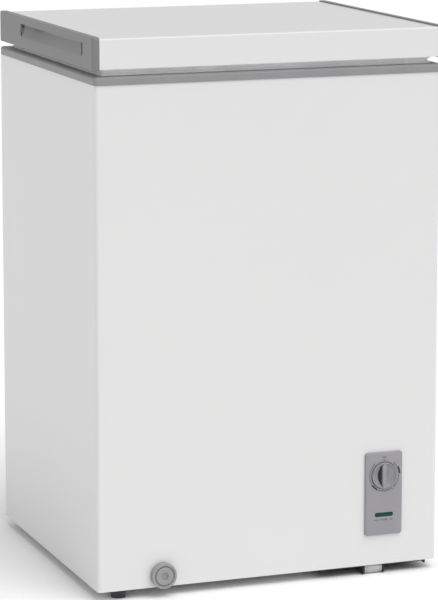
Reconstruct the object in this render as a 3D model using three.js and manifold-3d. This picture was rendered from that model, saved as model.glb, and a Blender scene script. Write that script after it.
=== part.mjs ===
// A small chest freezer with a hinged lid, in millimetres.
// X runs to the right, -Y is the front and Z is up from the floor.
// The origin is on the floor, at the middle of the whole object's footprint.

import * as THREE from 'three';
import { mergeVertices } from 'three/addons/utils/BufferGeometryUtils.js';
import Module from 'manifold-3d';

const manifoldLibrary = await Module();
manifoldLibrary.setup();

// ---------------------------------------------------------------- driving dimensions

// cabinet
const cabinetWidth = 550;
const cabinetDepth = 484;
const cabinetHeight = 759;
const groundClearance = 15;
const cabinetCornerRadius = 5;
const sheet = 1.2; // steel sheet
const seam = 0.3; // gap left where two pieces touch
const past = 2; // how far a cutting tool runs past the face it cuts

// tub, the inner tank
const wallThickness = 52; // outer steel face to the tub's inner face
const floorThickness = 55;
const tubWall = 1.5;
const tubCornerRadius = 30;
const tubFlange = 15;
const ledgeWidth = 6; // shelf round the mouth that the basket hangs on

// machine bay, under the raised step of the tub
const bayWidth = 191.8;
const bayHeight = 208.8;
const stepInsulation = 46;

// collar round the mouth of the cabinet
const collarHeight = 12.7;
const collarOverhang = 1.5;
const collarCornerRadius = 6;
const collarChamfer = 2.5;
const collarWall = 3;

// lid
const lidHeight = 45;
const lidSideInset = 6; // lid skin inside the cabinet's side face
const lidFrontOverhang = 4;
const lidRearInset = 13;
const lidSheet = 1;
const lidEdgeRadius = 3;
const lidLinerWall = 1.5;
const lidPlugDepth = 13;
const lidPlugClearance = 26; // lid plug to the tub's inner face
const gasketHeight = 10.4;
const gasketWidth = 24;
const gasketSideInset = 11;
const gasketFrontInset = 8;
const gasketRearMargin = 2; // gasket to the edge of the mouth
const gasketCornerRadius = 6;

// plastic caps at the two ends of the lid
const capThickness = 10.7;
const capLip = 2; // stands above the lid skin
const capDrop = 1.5; // hangs below the lid skin
const capCornerRadius = 4;
const capRearCornerRadius = 2;
const capWall = 3;
const capFaceWall = 5;
const gripDepth = 2.5;
const gripFrontMargin = 46.5;
const gripLength = 313;
const gripTopMargin = 11.3;
const gripHeight = 20.7;
const gripCornerRadius = 3;

// hinges
const hingeReach = 21; // hinge behind the cabinet's rear face
const hingeInset = 95; // hinge centre line from the cabinet's side face
const hingeWidth = 36;
const hingeEarRadius = 9.5;
const hingeEarThickness = 2.5;
const hingePlateDrop = 95;
const hingePivotHeight = 23; // above the cabinet steel
const hingePinRadius = 3;
const hingePinHead = 1.6;
const hingePinHeadRadius = 4.5;
const hingeBarrelRadius = 6.5;
const hingeBarrelLength = 19;
const hingeArmThickness = 2.5;
const hingeArmWidth = 32;
const hingeArmRise = 41; // top of the arm's leaf above the pivot
const springWireRadius = 0.8;
const springTurns = 4;
const springClearance = 0.7; // spring round its pin
const boreClearance = 0.3;

// control fascia
const fasciaWidth = 61.2;
const fasciaHeight = 130;
const fasciaThickness = 4.7;
const fasciaCornerRadius = 4;
const fasciaSideInset = 58.9; // from the cabinet's right face
const fasciaRise = 47; // above the cabinet's lower edge
const knobRadius = 20.5;
const knobProud = 3; // knob in front of the fascia's face
const knobGap = 0.6; // knob in its round opening
const knobRim = 1.6;
const knobGripWidth = 9;
const knobHollowDepth = 5.5; // finger hollow each side of the grip
const knobDrop = 36; // knob centre below the fascia's upper edge
const knobBoreDepth = 5;
const shaftRadius = 3;
const shaftLength = 38;
const thermostatWidth = 36;
const thermostatHeight = 40;
const thermostatDepth = 32;
const bushRadius = 5;
const sensorTubeRadius = 1.2;
const sensorBulbRadius = 3;
const sensorBulbLength = 80;
const sensorOffset = 12; // sensing tube to the right of the shaft
const sensorSetback = 22; // behind the thermostat
const sensorLead = 60; // bare tube before the bulb
const lampWidth = 30;
const lampHeight = 6;
const lampRise = 32.4; // above the fascia's lower edge
const lampNoseWidth = 15;
const lampNoseHeight = 3;
const lampNoseGap = 1; // lamp nose in its window in the steel
const lampBodyDepth = 18;
const lensProud = 0.4;

// defrost drain
const drainSideInset = 101.4; // from the cabinet's left face
const drainRise = 18.7; // above the cabinet's lower edge
const dialRadius = 19.5;
const dialDepth = 11.5;
const dialSkirtDepth = 6;
const dialWall = 2.5;
const dialChamfer = 1;
const sleeveRadius = 12;
const sleeveFlangeRadius = 15.5;
const sleeveFlangeThickness = 1.2;
const sleeveLength = 92;
const spoutRadius = 9;
const spoutLength = 68;
const spoutWall = 1.8;
const hoseRadius = 11;
const hoseWall = 2.5;
const hoseRun = 30;
const hoseBend = 15;
const plugRadius = 8;
const plugFlangeRadius = 13;
const plugDepth = 10;
const plugFlangeThickness = 2.7;
const plugTabHeight = 12;
const plugTabWidth = 14;
const plugTabThickness = 3;
const plugChamfer = 1;
const plugHoleRadius = 3;

// basket
const basketWidth = 198.5;
const basketHeight = 175;
const basketWall = 4;
const basketClearance = 0.5; // corner of the basket to the tub's rounded corner
const basketHookLength = 4; // how far the hook lies on the ledge
const basketHookThickness = 4;

// base plate, rollers and feet
const plateThickness = 1.7;
const plateBayInset = 2.7; // from the bay's left face
const plateSideInset = 16.7; // from the cabinet's right face
const plateEndInset = 1.5;
const plateFlangeDrop = 3.5;
const panRim = 18;
const panEndRim = 37.5;
const boltRadius = 3;
const boltHeadRadius = 5;
const boltHeadHeight = 3;
const boltShank = 12;
const boltSetback = 17; // from the cabinet's front face
const boltSpan = 81.7;
const boltOffset = 6; // the pair of bolts stands to the right of the plate's middle
const rollerRadius = 9;
const rollerWidth = 29;
const rollerSetback = 1; // roller inside the cabinet's end face
const rollerPinRadius = 2;
const rollerPinProud = 1;
const rollerNotchGap = 1; // roller to the steel behind it
const cheekThickness = 2.5;
const cheekGap = 0.5;
const cheekLength = 41;
const cheekFoot = 1.5; // lowest point of a cheek above the floor
const webThickness = 1.7;
const webLength = 18;
const footTopRadius = 12.5;
const footBottomRadius = 11;
const footSideInset = 38.6;
const footEndInset = 22;
const studRadius = 4;
const studLength = 24;
const studPocket = 12; // room above the stud

// sealed cooling system
const compressorRadius = 62;
const compressorHeight = 150;
const compressorRearInset = 112; // compressor centre from the cabinet's rear face
const compressorSeamLip = 3; // the welded seam stands out by this
const compressorFootGap = 3.8; // foot to the rim of the pan
const compressorFootWidth = 30;
const compressorFootThickness = 3;
const compressorFootSpan = 90;
const compressorProfile = [ // shares of the shell's radius and height
  [0, 0], [0.7, 0], [0.94, 0.07], [1, 0.2], [1, 0.56],
];
const compressorCrown = [[1, 0.61], [1, 0.78], [0.88, 0.92], [0.55, 1], [0, 1]];
const compressorSeam = [0.57, 0.6]; // shares of the height where the two halves are welded
const suctionPortRise = 67.5; // above the compressor's foot
const grommetRadius = 9;
const grommetHeight = 12;
const grommetNeck = 5;
const terminalWidth = 46;
const terminalDepth = 26;
const terminalHeight = 62;
const terminalCornerRadius = 4;
const terminalRise = 37.5;
const evaporatorPipe = 4;
const evaporatorLoops = 4;
const evaporatorRise = 55; // lowest loop above the tub's step
const evaporatorTail = 27.5; // pipe below the lowest loop
const evaporatorTopMargin = 145.3; // highest loop below the cabinet's top
const evaporatorGap = 60; // between the two risers
const condenserPipe = 2.5;
const condenserPasses = 7; // an odd number, so that the last pass ends at the rear
const condenserRise = 95; // lowest pass above the cabinet's lower edge
const condenserTopMargin = 64;
const condenserTurn = 30; // pass ends this far inside the cabinet's front and rear
const feedRise = 55;
const dischargeGap = 6.5; // discharge pipe's centre line to the compressor
const suctionInset = 38; // from the bay's left face
const condenserBend = 8;
const pipeBend = 12;
const capillaryRadius = 1.2;
const drierRadius = 8;
const drierLength = 88;
const drierInset = 18; // from the bay's left face
const drierRearInset = 26;
const drierRise = 14; // drier above the pipe that feeds it
const channelMargin = 1.5; // foam channel round a pipe

// rear grille and mains inlet
const grilleSlotHeight = 6;
const grilleSlotPitch = 17;
const grilleSlotRows = 10;
const grilleSlotColumns = 2;
const grilleBorder = 16;
const inletRadius = 9;
const inletNeck = 7;
const inletLength = 14;
const inletFlangeThickness = 4;
const inletInset = 28; // from the grille's right and lower edges

// ---------------------------------------------------------------- places worked out

const halfWidth = cabinetWidth / 2;
const front = -cabinetDepth / 2;
const rear = cabinetDepth / 2;
const cabinetTop = groundClearance + cabinetHeight;
const innerHalf = halfWidth - sheet;
const innerFront = front + sheet;
const innerRear = rear - sheet;

const tubHalfX = halfWidth - wallThickness;
const tubHalfY = cabinetDepth / 2 - wallThickness;
const tubFloor = groundClearance + floorThickness;

const bayRight = innerHalf;
const bayLeft = bayRight - bayWidth;
const bayFloor = groundClearance + sheet;
const bayTop = bayFloor + bayHeight;
const stepLeft = bayLeft - sheet - stepInsulation - tubWall;
const stepTop = bayTop + sheet + stepInsulation + tubWall;

const collarBottom = cabinetTop + seam;
const collarTop = collarBottom + collarHeight;
const mouthHalfX = tubHalfX + ledgeWidth;
const mouthHalfY = tubHalfY + ledgeWidth;

const gasketBottom = collarTop + seam;
const lidBottom = gasketBottom + gasketHeight + seam;
const lidTop = lidBottom + lidHeight;
const lidHalf = halfWidth - lidSideInset;
const lidFront = front - lidFrontOverhang;
const lidRear = rear - lidRearInset;

const pivotY = rear + hingeReach - hingeEarRadius;
const pivotZ = cabinetTop + hingePivotHeight;

const fasciaRight = halfWidth - fasciaSideInset;
const fasciaX = fasciaRight - fasciaWidth / 2;
const fasciaBack = front - seam;
const fasciaFront = fasciaBack - fasciaThickness;
const fasciaBottom = groundClearance + fasciaRise;
const fasciaTop = fasciaBottom + fasciaHeight;
const knobZ = fasciaTop - knobDrop;
const lampZ = fasciaBottom + lampRise;
const knobBack = front - seam;
const knobFront = fasciaFront - knobProud;
const shaftEnd = knobBack - knobBoreDepth + seam + shaftLength;

const sensorX = fasciaX + sensorOffset;
const sensorY = innerFront + thermostatDepth + sensorSetback;
const sensorZ = bayTop + stepInsulation / 2;
const sensorRun = sensorBulbLength + sensorLead;

const drainX = -halfWidth + drainSideInset;
const drainZ = groundClearance + drainRise;
const sleeveFront = front - seam - sleeveFlangeThickness;
const sleeveRear = sleeveFront + sleeveLength;
const sleeveBore = spoutRadius + boreClearance;
const dialBack = front - 2 * seam;
const dialFront = dialBack - dialDepth;
const hoseEndY = sleeveRear + seam + hoseRun;

const plateTop = groundClearance - seam;
const plateBottom = plateTop - plateThickness;
const plateRight = halfWidth - plateSideInset;
const plateLeft = bayLeft + plateBayInset;
const plateX = (plateLeft + plateRight) / 2;

const compressorX = plateX;
const compressorY = rear - compressorRearInset;
const compressorSeamRadius = compressorRadius + compressorSeamLip;
const compressorFoot = plateTop + grommetHeight + seam;
const compressorFootLength = plateRight - plateLeft - 2 * (panRim + compressorFootGap);
const suctionX = bayLeft + suctionInset;
const dischargeX = compressorX - compressorSeamRadius - dischargeGap;
const drierX = bayLeft + drierInset;
const drierY = innerRear - drierRearInset;
const evaporatorY = tubHalfY + tubWall + evaporatorPipe + channelMargin;
const evaporatorX = tubHalfX + tubWall + evaporatorPipe + channelMargin;
const evaporatorBottom = stepTop + evaporatorRise;
const evaporatorTop = cabinetTop - evaporatorTopMargin;
const evaporatorPitch = (evaporatorTop - evaporatorBottom) / (evaporatorLoops - 1);
const evaporatorBend = tubCornerRadius + tubWall + 2 * (evaporatorPipe + channelMargin);
const condenserX = -innerHalf + seam + condenserPipe + channelMargin;
const condenserRearY = innerRear - condenserPipe - channelMargin;
const condenserBottom = groundClearance + condenserRise;
const condenserTop = cabinetTop - condenserTopMargin;
const condenserPitch = (condenserTop - condenserBottom) / (condenserPasses - 1);
const feedZ = groundClearance + feedRise;
const returnZ = condenserBottom;

// ---------------------------------------------------------------- materials

const paint = (color, roughness, metalness = 0) =>
  new THREE.MeshStandardMaterial({ color, roughness, metalness });

const whiteSteel = () => paint(0xf1f1f0, 0.35, 0.1);
const whitePlastic = () => paint(0xeeeeec, 0.4);
const greyPlastic = () => paint(0x8b8b8d, 0.5);
const darkPlastic = () => paint(0x3a3a3c, 0.6);
const blackSteel = () => paint(0x1c1c1e, 0.45, 0.6);
const zincSteel = () => paint(0xb4b6b8, 0.35, 0.9);
const copper = () => paint(0xb8693f, 0.3, 1);
const foam = () => paint(0xe6d9a8, 0.95);
const rubber = () => paint(0xc4c4c4, 0.8);

// ---------------------------------------------------------------- shape helpers

const AXES = {
  x: [new THREE.Vector3(0, 1, 0), new THREE.Vector3(0, 0, 1), new THREE.Vector3(1, 0, 0)],
  y: [new THREE.Vector3(1, 0, 0), new THREE.Vector3(0, 0, 1), new THREE.Vector3(0, -1, 0)],
  z: [new THREE.Vector3(1, 0, 0), new THREE.Vector3(0, 1, 0), new THREE.Vector3(0, 0, 1)],
};

// A closed outline from its corners, each [u, v] or [u, v, radius] where it is a rounded right angle.
function outline(corners) {
  const shape = new THREE.Shape();
  corners.forEach(([u, v, radius = 0], index) => {
    if (radius <= 0) {
      if (index === 0) shape.moveTo(u, v);
      else shape.lineTo(u, v);
      return;
    }
    const corner = new THREE.Vector2(u, v);
    const before = corners[(index + corners.length - 1) % corners.length];
    const after = corners[(index + 1) % corners.length];
    const back = new THREE.Vector2(before[0], before[1]).sub(corner).normalize();
    const ahead = new THREE.Vector2(after[0], after[1]).sub(corner).normalize();
    const centre = corner.addScaledVector(back, radius).addScaledVector(ahead, radius);
    const start = Math.atan2(-ahead.y, -ahead.x);
    const end = Math.atan2(-back.y, -back.x);
    shape.absarc(centre.x, centre.y, radius, start, end, back.cross(ahead) > 0);
  });
  return shape;
}

const rectangle = (u0, v0, u1, v1, radius = 0) =>
  outline([[u0, v0, radius], [u1, v0, radius], [u1, v1, radius], [u0, v1, radius]]);

// A folded sheet with three sides: it runs along v, is closed at vClosed and open at vOpen.
function channel(u0, u1, vOpen, vClosed, radius, thickness) {
  const inward = Math.sign(vOpen - vClosed) * thickness;
  const inside = radius - thickness;
  return outline([
    [u0, vOpen], [u0, vClosed, radius], [u1, vClosed, radius], [u1, vOpen],
    [u1 - thickness, vOpen], [u1 - thickness, vClosed + inward, inside],
    [u0 + thickness, vClosed + inward, inside], [u0 + thickness, vOpen],
  ]);
}

// An outline pushed along an axis. It is drawn in (y, z) for x, (x, z) for y and (x, y) for z.
function prism(axis, shape, from, to, curveSegments = 2) {
  const geometry = new THREE.ExtrudeGeometry(shape, {
    depth: to - from, bevelEnabled: false, curveSegments,
  });
  const [u, v, w] = AXES[axis];
  geometry.applyMatrix4(new THREE.Matrix4().makeBasis(u, v, w));
  const start = AXES[axis][2].clone().multiplyScalar(axis === 'y' ? -to : from);
  return geometry.translate(start.x, start.y, start.z);
}

// The same along Z, with a chamfer round its upper edge.
function chamferedPrism(shape, from, to, chamfer, curveSegments = 2) {
  const geometry = new THREE.ExtrudeGeometry(shape, {
    depth: to - from, bevelEnabled: true, bevelSegments: 1, bevelThickness: chamfer,
    bevelSize: chamfer, bevelOffset: -chamfer, curveSegments,
  });
  geometry.translate(0, 0, from - chamfer);
  const [x, y] = [cabinetWidth, cabinetDepth];
  return cut(geometry, block(-x, x, -y, y, from - 2 * chamfer, from));
}

function block(x0, x1, y0, y1, z0, z1) {
  const geometry = new THREE.BoxGeometry(x1 - x0, y1 - y0, z1 - z0);
  return geometry.translate((x0 + x1) / 2, (y0 + y1) / 2, (z0 + z1) / 2);
}

// Turns a shape made round +Y so that it stands along the axis, then moves its foot to the place.
function stand(geometry, axis, place) {
  if (axis === 'x') geometry.rotateZ(-Math.PI / 2);
  if (axis === 'z') geometry.rotateX(Math.PI / 2);
  return geometry.translate(...place);
}

const AXIS_INDEX = { x: 0, y: 1, z: 2 };

// A round bar between two values of its axis. The place gives its other two coordinates.
function bar(axis, radius, from, to, place, sides = 16) {
  const centre = [...place];
  centre[AXIS_INDEX[axis]] = (from + to) / 2;
  return stand(new THREE.CylinderGeometry(radius, radius, to - from, sides), axis, centre);
}

// A turned piece: its profile is a list of [radius, distance along the axis] from its foot.
function turned(axis, profile, foot, sides = 16) {
  const points = profile.map(([radius, along]) => new THREE.Vector2(radius, along));
  return stand(new THREE.LatheGeometry(points, sides), axis, foot);
}

// The route of a pipe: straight runs with a bend at each inner corner, [x, y, z] or [x, y, z, bend].
class PipeRoute extends THREE.Curve {
  constructor(corners, bend, bendSteps = 3) {
    super();
    const points = corners.map(([x, y, z]) => new THREE.Vector3(x, y, z));
    this.stations = [points[0]];
    for (let index = 1; index < points.length - 1; index += 1) {
      const corner = points[index];
      const reach = (other) => Math.min(corners[index][3] ?? bend, corner.distanceTo(other) / 2);
      const radius = Math.min(reach(points[index - 1]), reach(points[index + 1]));
      const towards = (other) => corner.clone().add(other.clone().sub(corner).setLength(radius));
      const arc = new THREE.QuadraticBezierCurve3(
        towards(points[index - 1]), corner, towards(points[index + 1]),
      );
      this.stations.push(...arc.getPoints(bendSteps));
    }
    this.stations.push(points[points.length - 1]);
    this.stations = this.stations.filter(
      (station, index, all) => index === 0 || station.distanceTo(all[index - 1]) > 1e-3,
    );
  }

  getPointAt(u) {
    const last = this.stations.length - 1;
    const index = Math.min(Math.floor(u * last + 1e-6), last - 1);
    return this.stations[index].clone().lerp(this.stations[index + 1], u * last - index);
  }

  getTangentAt(u) {
    const last = this.stations.length - 1;
    const index = Math.round(u * last);
    const before = this.stations[Math.max(index - 1, 0)];
    const after = this.stations[Math.min(index + 1, last)];
    return after.clone().sub(before).normalize();
  }
}

// A pipe along a route, solid or with a bore.
function pipe(route, radius, sides = 6, bore = 0) {
  const section = new THREE.Shape().absarc(0, 0, radius, 0, 2 * Math.PI);
  if (bore > 0) section.holes.push(new THREE.Path().absarc(0, 0, bore, 0, 2 * Math.PI));
  return new THREE.ExtrudeGeometry(section, {
    steps: route.stations.length - 1, extrudePath: route, curveSegments: sides / 2,
  });
}

// ---------------------------------------------------------------- joining and cutting

function toSolid(geometry) {
  if (geometry instanceof manifoldLibrary.Manifold) return geometry;
  const bare = geometry.clone();
  bare.deleteAttribute('normal');
  bare.deleteAttribute('uv');
  const merged = mergeVertices(bare, 1e-4);
  const index = merged.index.array;
  const triangles = [];
  for (let i = 0; i < index.length; i += 3) {
    const [a, b, c] = index.slice(i, i + 3);
    if (a !== b && b !== c && c !== a) triangles.push(a, b, c);
  }
  return new manifoldLibrary.Manifold(new manifoldLibrary.Mesh({
    numProp: 3,
    vertProperties: new Float32Array(merged.attributes.position.array),
    triVerts: new Uint32Array(triangles),
  }));
}

const cut = (body, ...tools) =>
  tools.reduce((solid, tool) => solid.subtract(toSolid(tool)), toSolid(body));
const join = (...bodies) => bodies.map(toSolid).reduce((all, next) => all.add(next));
const common = (body, other) => toSolid(body).intersect(toSolid(other));

function toGeometry(shape) {
  const { numProp, vertProperties, triVerts } = toSolid(shape).getMesh();
  const positions = new Float32Array((vertProperties.length / numProp) * 3);
  for (let i = 0; i < positions.length / 3; i += 1) {
    positions.set(vertProperties.subarray(i * numProp, i * numProp + 3), i * 3);
  }
  const geometry = new THREE.BufferGeometry();
  geometry.setAttribute('position', new THREE.BufferAttribute(positions, 3));
  geometry.setIndex(new THREE.BufferAttribute(triVerts, 1));
  geometry.computeVertexNormals();
  return geometry;
}

// ---------------------------------------------------------------- the freezer

const freezer = new THREE.Group();
const cabinet = new THREE.Group();
const lid = new THREE.Group();
freezer.add(cabinet, lid);

function add(group, name, shape, material) {
  const mesh = new THREE.Mesh(toGeometry(shape), material);
  mesh.name = name;
  group.add(mesh);
}

// ---- cabinet skin

// The plan of what fits inside the steel skin, a seam away from it all round.
const insidePlan = () => rectangle(-innerHalf + seam, innerFront + seam, innerHalf - seam,
  innerRear - seam, cabinetCornerRadius - sheet);

// The lamp's nose, or the window for it, which is larger by the growth all round.
const lampNose = (growth, y0, y1) => block(fasciaX - lampNoseWidth / 2 - growth,
  fasciaX + lampNoseWidth / 2 + growth, y0, y1, lampZ - lampNoseHeight / 2 - growth,
  lampZ + lampNoseHeight / 2 + growth);

function addCabinetSkin() {
  const wrap = prism('z', channel(-halfWidth, halfWidth, rear, front, cabinetCornerRadius, sheet),
    groundClearance, cabinetTop);
  add(cabinet, 'cabinet_shell', cut(
    wrap,
    bar('y', bushRadius + boreClearance, front - past, innerFront + past, [fasciaX, 0, knobZ]),
    lampNose(lampNoseGap, front - past, innerFront + past),
    bar('y', sleeveRadius + boreClearance, front - past, innerFront + past, [drainX, 0, drainZ]),
  ), whiteSteel());

  const panelHalf = innerHalf - seam;
  add(cabinet, 'back_panel', cut(
    block(-panelHalf, panelHalf, innerRear, rear, groundClearance, cabinetTop),
    block(bayLeft, innerHalf + past, innerRear - past, rear + past, groundClearance - past, bayTop),
  ), whiteSteel());

  const opening = block(plateLeft + panRim, plateRight - panRim, front + panEndRim, rear - panEndRim,
    groundClearance - past, bayFloor + past);
  const pan = prism('z', insidePlan(), groundClearance, bayFloor);
  const studHoles = footPlaces().map(([x, y]) =>
    bar('z', studRadius + boreClearance, groundClearance - past, bayFloor + past, [x, y, 0]));
  const boltHoles = boltPlaces().map(([x, y]) =>
    bar('z', boltRadius + boreClearance, groundClearance - past, bayFloor + past, [x, y, 0], 12));
  add(cabinet, 'bottom_pan', cut(
    pan, opening, ...rollerNotches(), ...studHoles, ...boltHoles,
  ), blackSteel());

  const bay = outline([
    [bayLeft - sheet, bayFloor + seam], [bayLeft, bayFloor + seam], [bayLeft, bayTop],
    [bayRight - seam, bayTop], [bayRight - seam, bayTop + sheet], [bayLeft - sheet, bayTop + sheet],
  ]);
  const passes = [
    bar('z', evaporatorPipe + channelMargin, bayTop - past, bayTop + sheet + past,
      [suctionX, evaporatorY, 0], 12),
    bar('z', capillaryRadius + channelMargin, bayTop - past, bayTop + sheet + past,
      [drierX, drierY, 0], 8),
    bar('z', sensorTubeRadius + channelMargin, bayTop - past, bayTop + sheet + past,
      [sensorX, sensorY, 0], 8),
    bar('x', condenserPipe + channelMargin, bayLeft - sheet - past, bayLeft + past,
      [0, condenserRearY, feedZ], 8),
    bar('x', condenserPipe + channelMargin, bayLeft - sheet - past, bayLeft + past,
      [0, condenserRearY, returnZ], 8),
  ];
  const panel = common(prism('y', bay, front, rear), prism('z', insidePlan(), 0, cabinetTop));
  add(cabinet, 'bay_panel', cut(panel, ...passes), zincSteel());
}

// ---- tub and collar

const tubPlan = (grow) => rectangle(-tubHalfX - grow, -tubHalfY - grow, tubHalfX + grow,
  tubHalfY + grow, tubCornerRadius + grow);

function tubBody(grow, floor, top) {
  const depth = cabinetDepth;
  return cut(
    prism('z', tubPlan(grow), floor, top),
    block(stepLeft + grow, cabinetWidth, -depth, depth, 0, stepTop - grow),
  );
}

function addTub() {
  const flangeGrow = tubWall + tubFlange;
  const flange = prism('z', tubPlan(flangeGrow), cabinetTop - tubWall, cabinetTop);
  add(cabinet, 'tub', cut(
    join(tubBody(tubWall, tubFloor - tubWall, cabinetTop), flange),
    tubBody(0, tubFloor, cabinetTop + past),
    bar('z', plugRadius + boreClearance, tubFloor - tubWall - past, tubFloor + past,
      [drainX, hoseEndY, 0]),
  ), paint(0xdfe1e2, 0.3, 0.5));
}

function addCollar() {
  const side = halfWidth + collarOverhang;
  const ring = (outer, inner, bottom, top) => cut(
    prism('z', outer, bottom, top), prism('z', inner, bottom - past, top + past),
  );
  const mouth = (grow) => rectangle(-mouthHalfX - grow, -mouthHalfY - grow, mouthHalfX + grow,
    mouthHalfY + grow, tubCornerRadius + ledgeWidth + grow);
  const edge = rectangle(-side, front - collarOverhang, side, rear, collarCornerRadius);
  const hollow = rectangle(-side + collarWall, front - collarOverhang + collarWall, side - collarWall,
    rear - collarWall, collarCornerRadius - collarWall);
  add(cabinet, 'top_collar', cut(
    chamferedPrism(edge, collarBottom, collarTop, collarChamfer),
    prism('z', mouth(0), collarBottom - past, collarTop + past),
    ring(hollow, mouth(collarWall), collarBottom - past, collarTop - collarWall),
  ), greyPlastic());
}

// ---- foam, with a channel for each pipe

function foamChannels() {
  const ringChannel = (height) => prism('z', tubPlan(tubWall + 2 * (evaporatorPipe + channelMargin)),
    height - evaporatorPipe - channelMargin, height + evaporatorPipe + channelMargin);
  const loops = Array.from({ length: evaporatorLoops }, (_, i) =>
    ringChannel(evaporatorBottom + i * evaporatorPitch));
  const riserSide = pipeBend + evaporatorPipe + channelMargin;
  const risers = block(suctionX - evaporatorGap - riserSide, suctionX + riserSide,
    tubHalfY, drierY + capillaryRadius + channelMargin, bayTop,
    evaporatorTop + evaporatorPipe + channelMargin);
  const room = condenserPipe + channelMargin;
  const levels = Array.from({ length: condenserPasses }, (_, i) =>
    condenserBottom + i * condenserPitch);
  const passes = [feedZ, ...levels].map((height) => block(-innerHalf, condenserX + room,
    front + condenserTurn - room, rear, height - room, height + room));
  const bends = [front + condenserTurn, rear - condenserTurn].map((y) =>
    block(-innerHalf, condenserX + room, y - room, y + room, feedZ - room, condenserTop + room));
  const feeds = [[-innerHalf, feedZ], [-room, returnZ]].map(([x, height]) =>
    block(x, bayLeft, condenserRearY - room, innerRear, height - room, height + room));
  const down = block(-room, room, condenserRearY - room, innerRear, returnZ - room,
    condenserTop + room);
  const across = block(-innerHalf, room, condenserRearY - room, innerRear, condenserTop - room,
    condenserTop + room);
  const sensor = block(sensorX - sensorRun - sensorBulbRadius, sensorX + sensorBulbRadius,
    sensorY - sensorBulbRadius - seam, sensorY + sensorBulbRadius + seam, bayTop,
    sensorZ + sensorBulbRadius + seam);
  return [...loops, risers, ...passes, ...bends, ...feeds, down, across, sensor];
}

function addFoam() {
  const bay = block(bayLeft - sheet - seam, halfWidth, front, rear, 0, bayTop + sheet + seam);
  const studs = footPlaces().map(([x, y]) =>
    bar('z', studRadius + 2 * boreClearance, 0, groundClearance + studLength + studPocket,
      [x, y, 0], 12));
  add(cabinet, 'foam_insulation', cut(
    prism('z', insidePlan(), bayFloor + seam, cabinetTop - tubWall - seam),
    tubBody(tubWall + seam, tubFloor - tubWall - seam, cabinetTop + past),
    bay,
    ...foamChannels(),
    ...studs,
    bar('y', sleeveRadius + boreClearance, innerFront - past, sleeveRear + past, [drainX, 0, drainZ]),
    bar('y', hoseRadius + channelMargin, sleeveRear, hoseEndY, [drainX, 0, drainZ]),
    block(drainX - hoseRadius - channelMargin, drainX + hoseRadius + channelMargin,
      hoseEndY - hoseBend, hoseEndY + hoseRadius + channelMargin,
      drainZ - hoseRadius - channelMargin, tubFloor),
  ), foam());
}

// ---- control fascia, thermostat and lamp


const stadium = (halfLength, halfHeight, x, z) =>
  rectangle(x - halfLength, z - halfHeight, x + halfLength, z + halfHeight, halfHeight);

function addControls() {
  const plate = rectangle(fasciaRight - fasciaWidth, fasciaBottom, fasciaRight, fasciaTop,
    fasciaCornerRadius);
  add(cabinet, 'control_fascia', cut(
    prism('y', plate, fasciaFront, fasciaBack),
    bar('y', knobRadius + knobGap, fasciaFront - past, fasciaBack + past, [fasciaX, 0, knobZ], 32),
    prism('y', stadium(lampWidth / 2 + seam, lampHeight / 2 + seam, fasciaX, lampZ), fasciaFront - past,
      fasciaBack + past),
  ), greyPlastic());

  const bodyFront = innerFront + seam;
  add(cabinet, 'thermostat_body', cut(
    join(
      block(fasciaX - thermostatWidth / 2, fasciaX + thermostatWidth / 2, bodyFront,
        bodyFront + thermostatDepth, knobZ - thermostatHeight / 2, knobZ + thermostatHeight / 2),
      bar('y', bushRadius, front, bodyFront + past, [fasciaX, 0, knobZ]),
    ),
    bar('y', shaftRadius + boreClearance, front - past, shaftEnd + seam, [fasciaX, 0, knobZ]),
  ), darkPlastic());

  const bulbEnd = sensorX - sensorRun;
  const capillary = new PipeRoute([
    [sensorX, bodyFront + thermostatDepth + seam, knobZ], [sensorX, sensorY, knobZ],
    [sensorX, sensorY, sensorZ], [bulbEnd + sensorBulbLength, sensorY, sensorZ],
  ], pipeBend);
  add(cabinet, 'thermostat_sensor', join(
    pipe(capillary, sensorTubeRadius),
    bar('x', sensorBulbRadius, bulbEnd, bulbEnd + sensorBulbLength + seam, [0, sensorY, sensorZ], 8),
  ), copper());

  add(cabinet, 'indicator_lens', prism('y', stadium(lampWidth / 2, lampHeight / 2, fasciaX, lampZ),
    fasciaFront - lensProud, fasciaBack - seam), paint(0x0f5a44, 0.2));
  add(cabinet, 'indicator_lamp', join(
    block(fasciaX - lampWidth / 2, fasciaX + lampWidth / 2, bodyFront, bodyFront + lampBodyDepth,
      lampZ - lampHeight, lampZ + lampHeight),
    lampNose(0, front, bodyFront + past),
  ), darkPlastic());

  const hollowEnd = knobFront + knobHollowDepth;
  const grip = block(fasciaX - knobGripWidth / 2, fasciaX + knobGripWidth / 2, knobFront - 2 * past,
    hollowEnd + past, knobZ - knobRadius, knobZ + knobRadius);
  add(cabinet, 'thermostat_knob', cut(
    bar('y', knobRadius, knobFront, knobBack, [fasciaX, 0, knobZ], 32),
    cut(bar('y', knobRadius - knobRim, knobFront - past, hollowEnd, [fasciaX, 0, knobZ], 32), grip),
    bar('y', shaftRadius + boreClearance, knobBack - knobBoreDepth, knobBack + past,
      [fasciaX, 0, knobZ]),
  ), greyPlastic());
  add(cabinet, 'thermostat_shaft', bar('y', shaftRadius, shaftEnd - shaftLength, shaftEnd,
    [fasciaX, 0, knobZ]), zincSteel());
}

// ---- defrost drain: sleeve, hose, sliding spout with its dial, and the plug in the tub's floor

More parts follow.
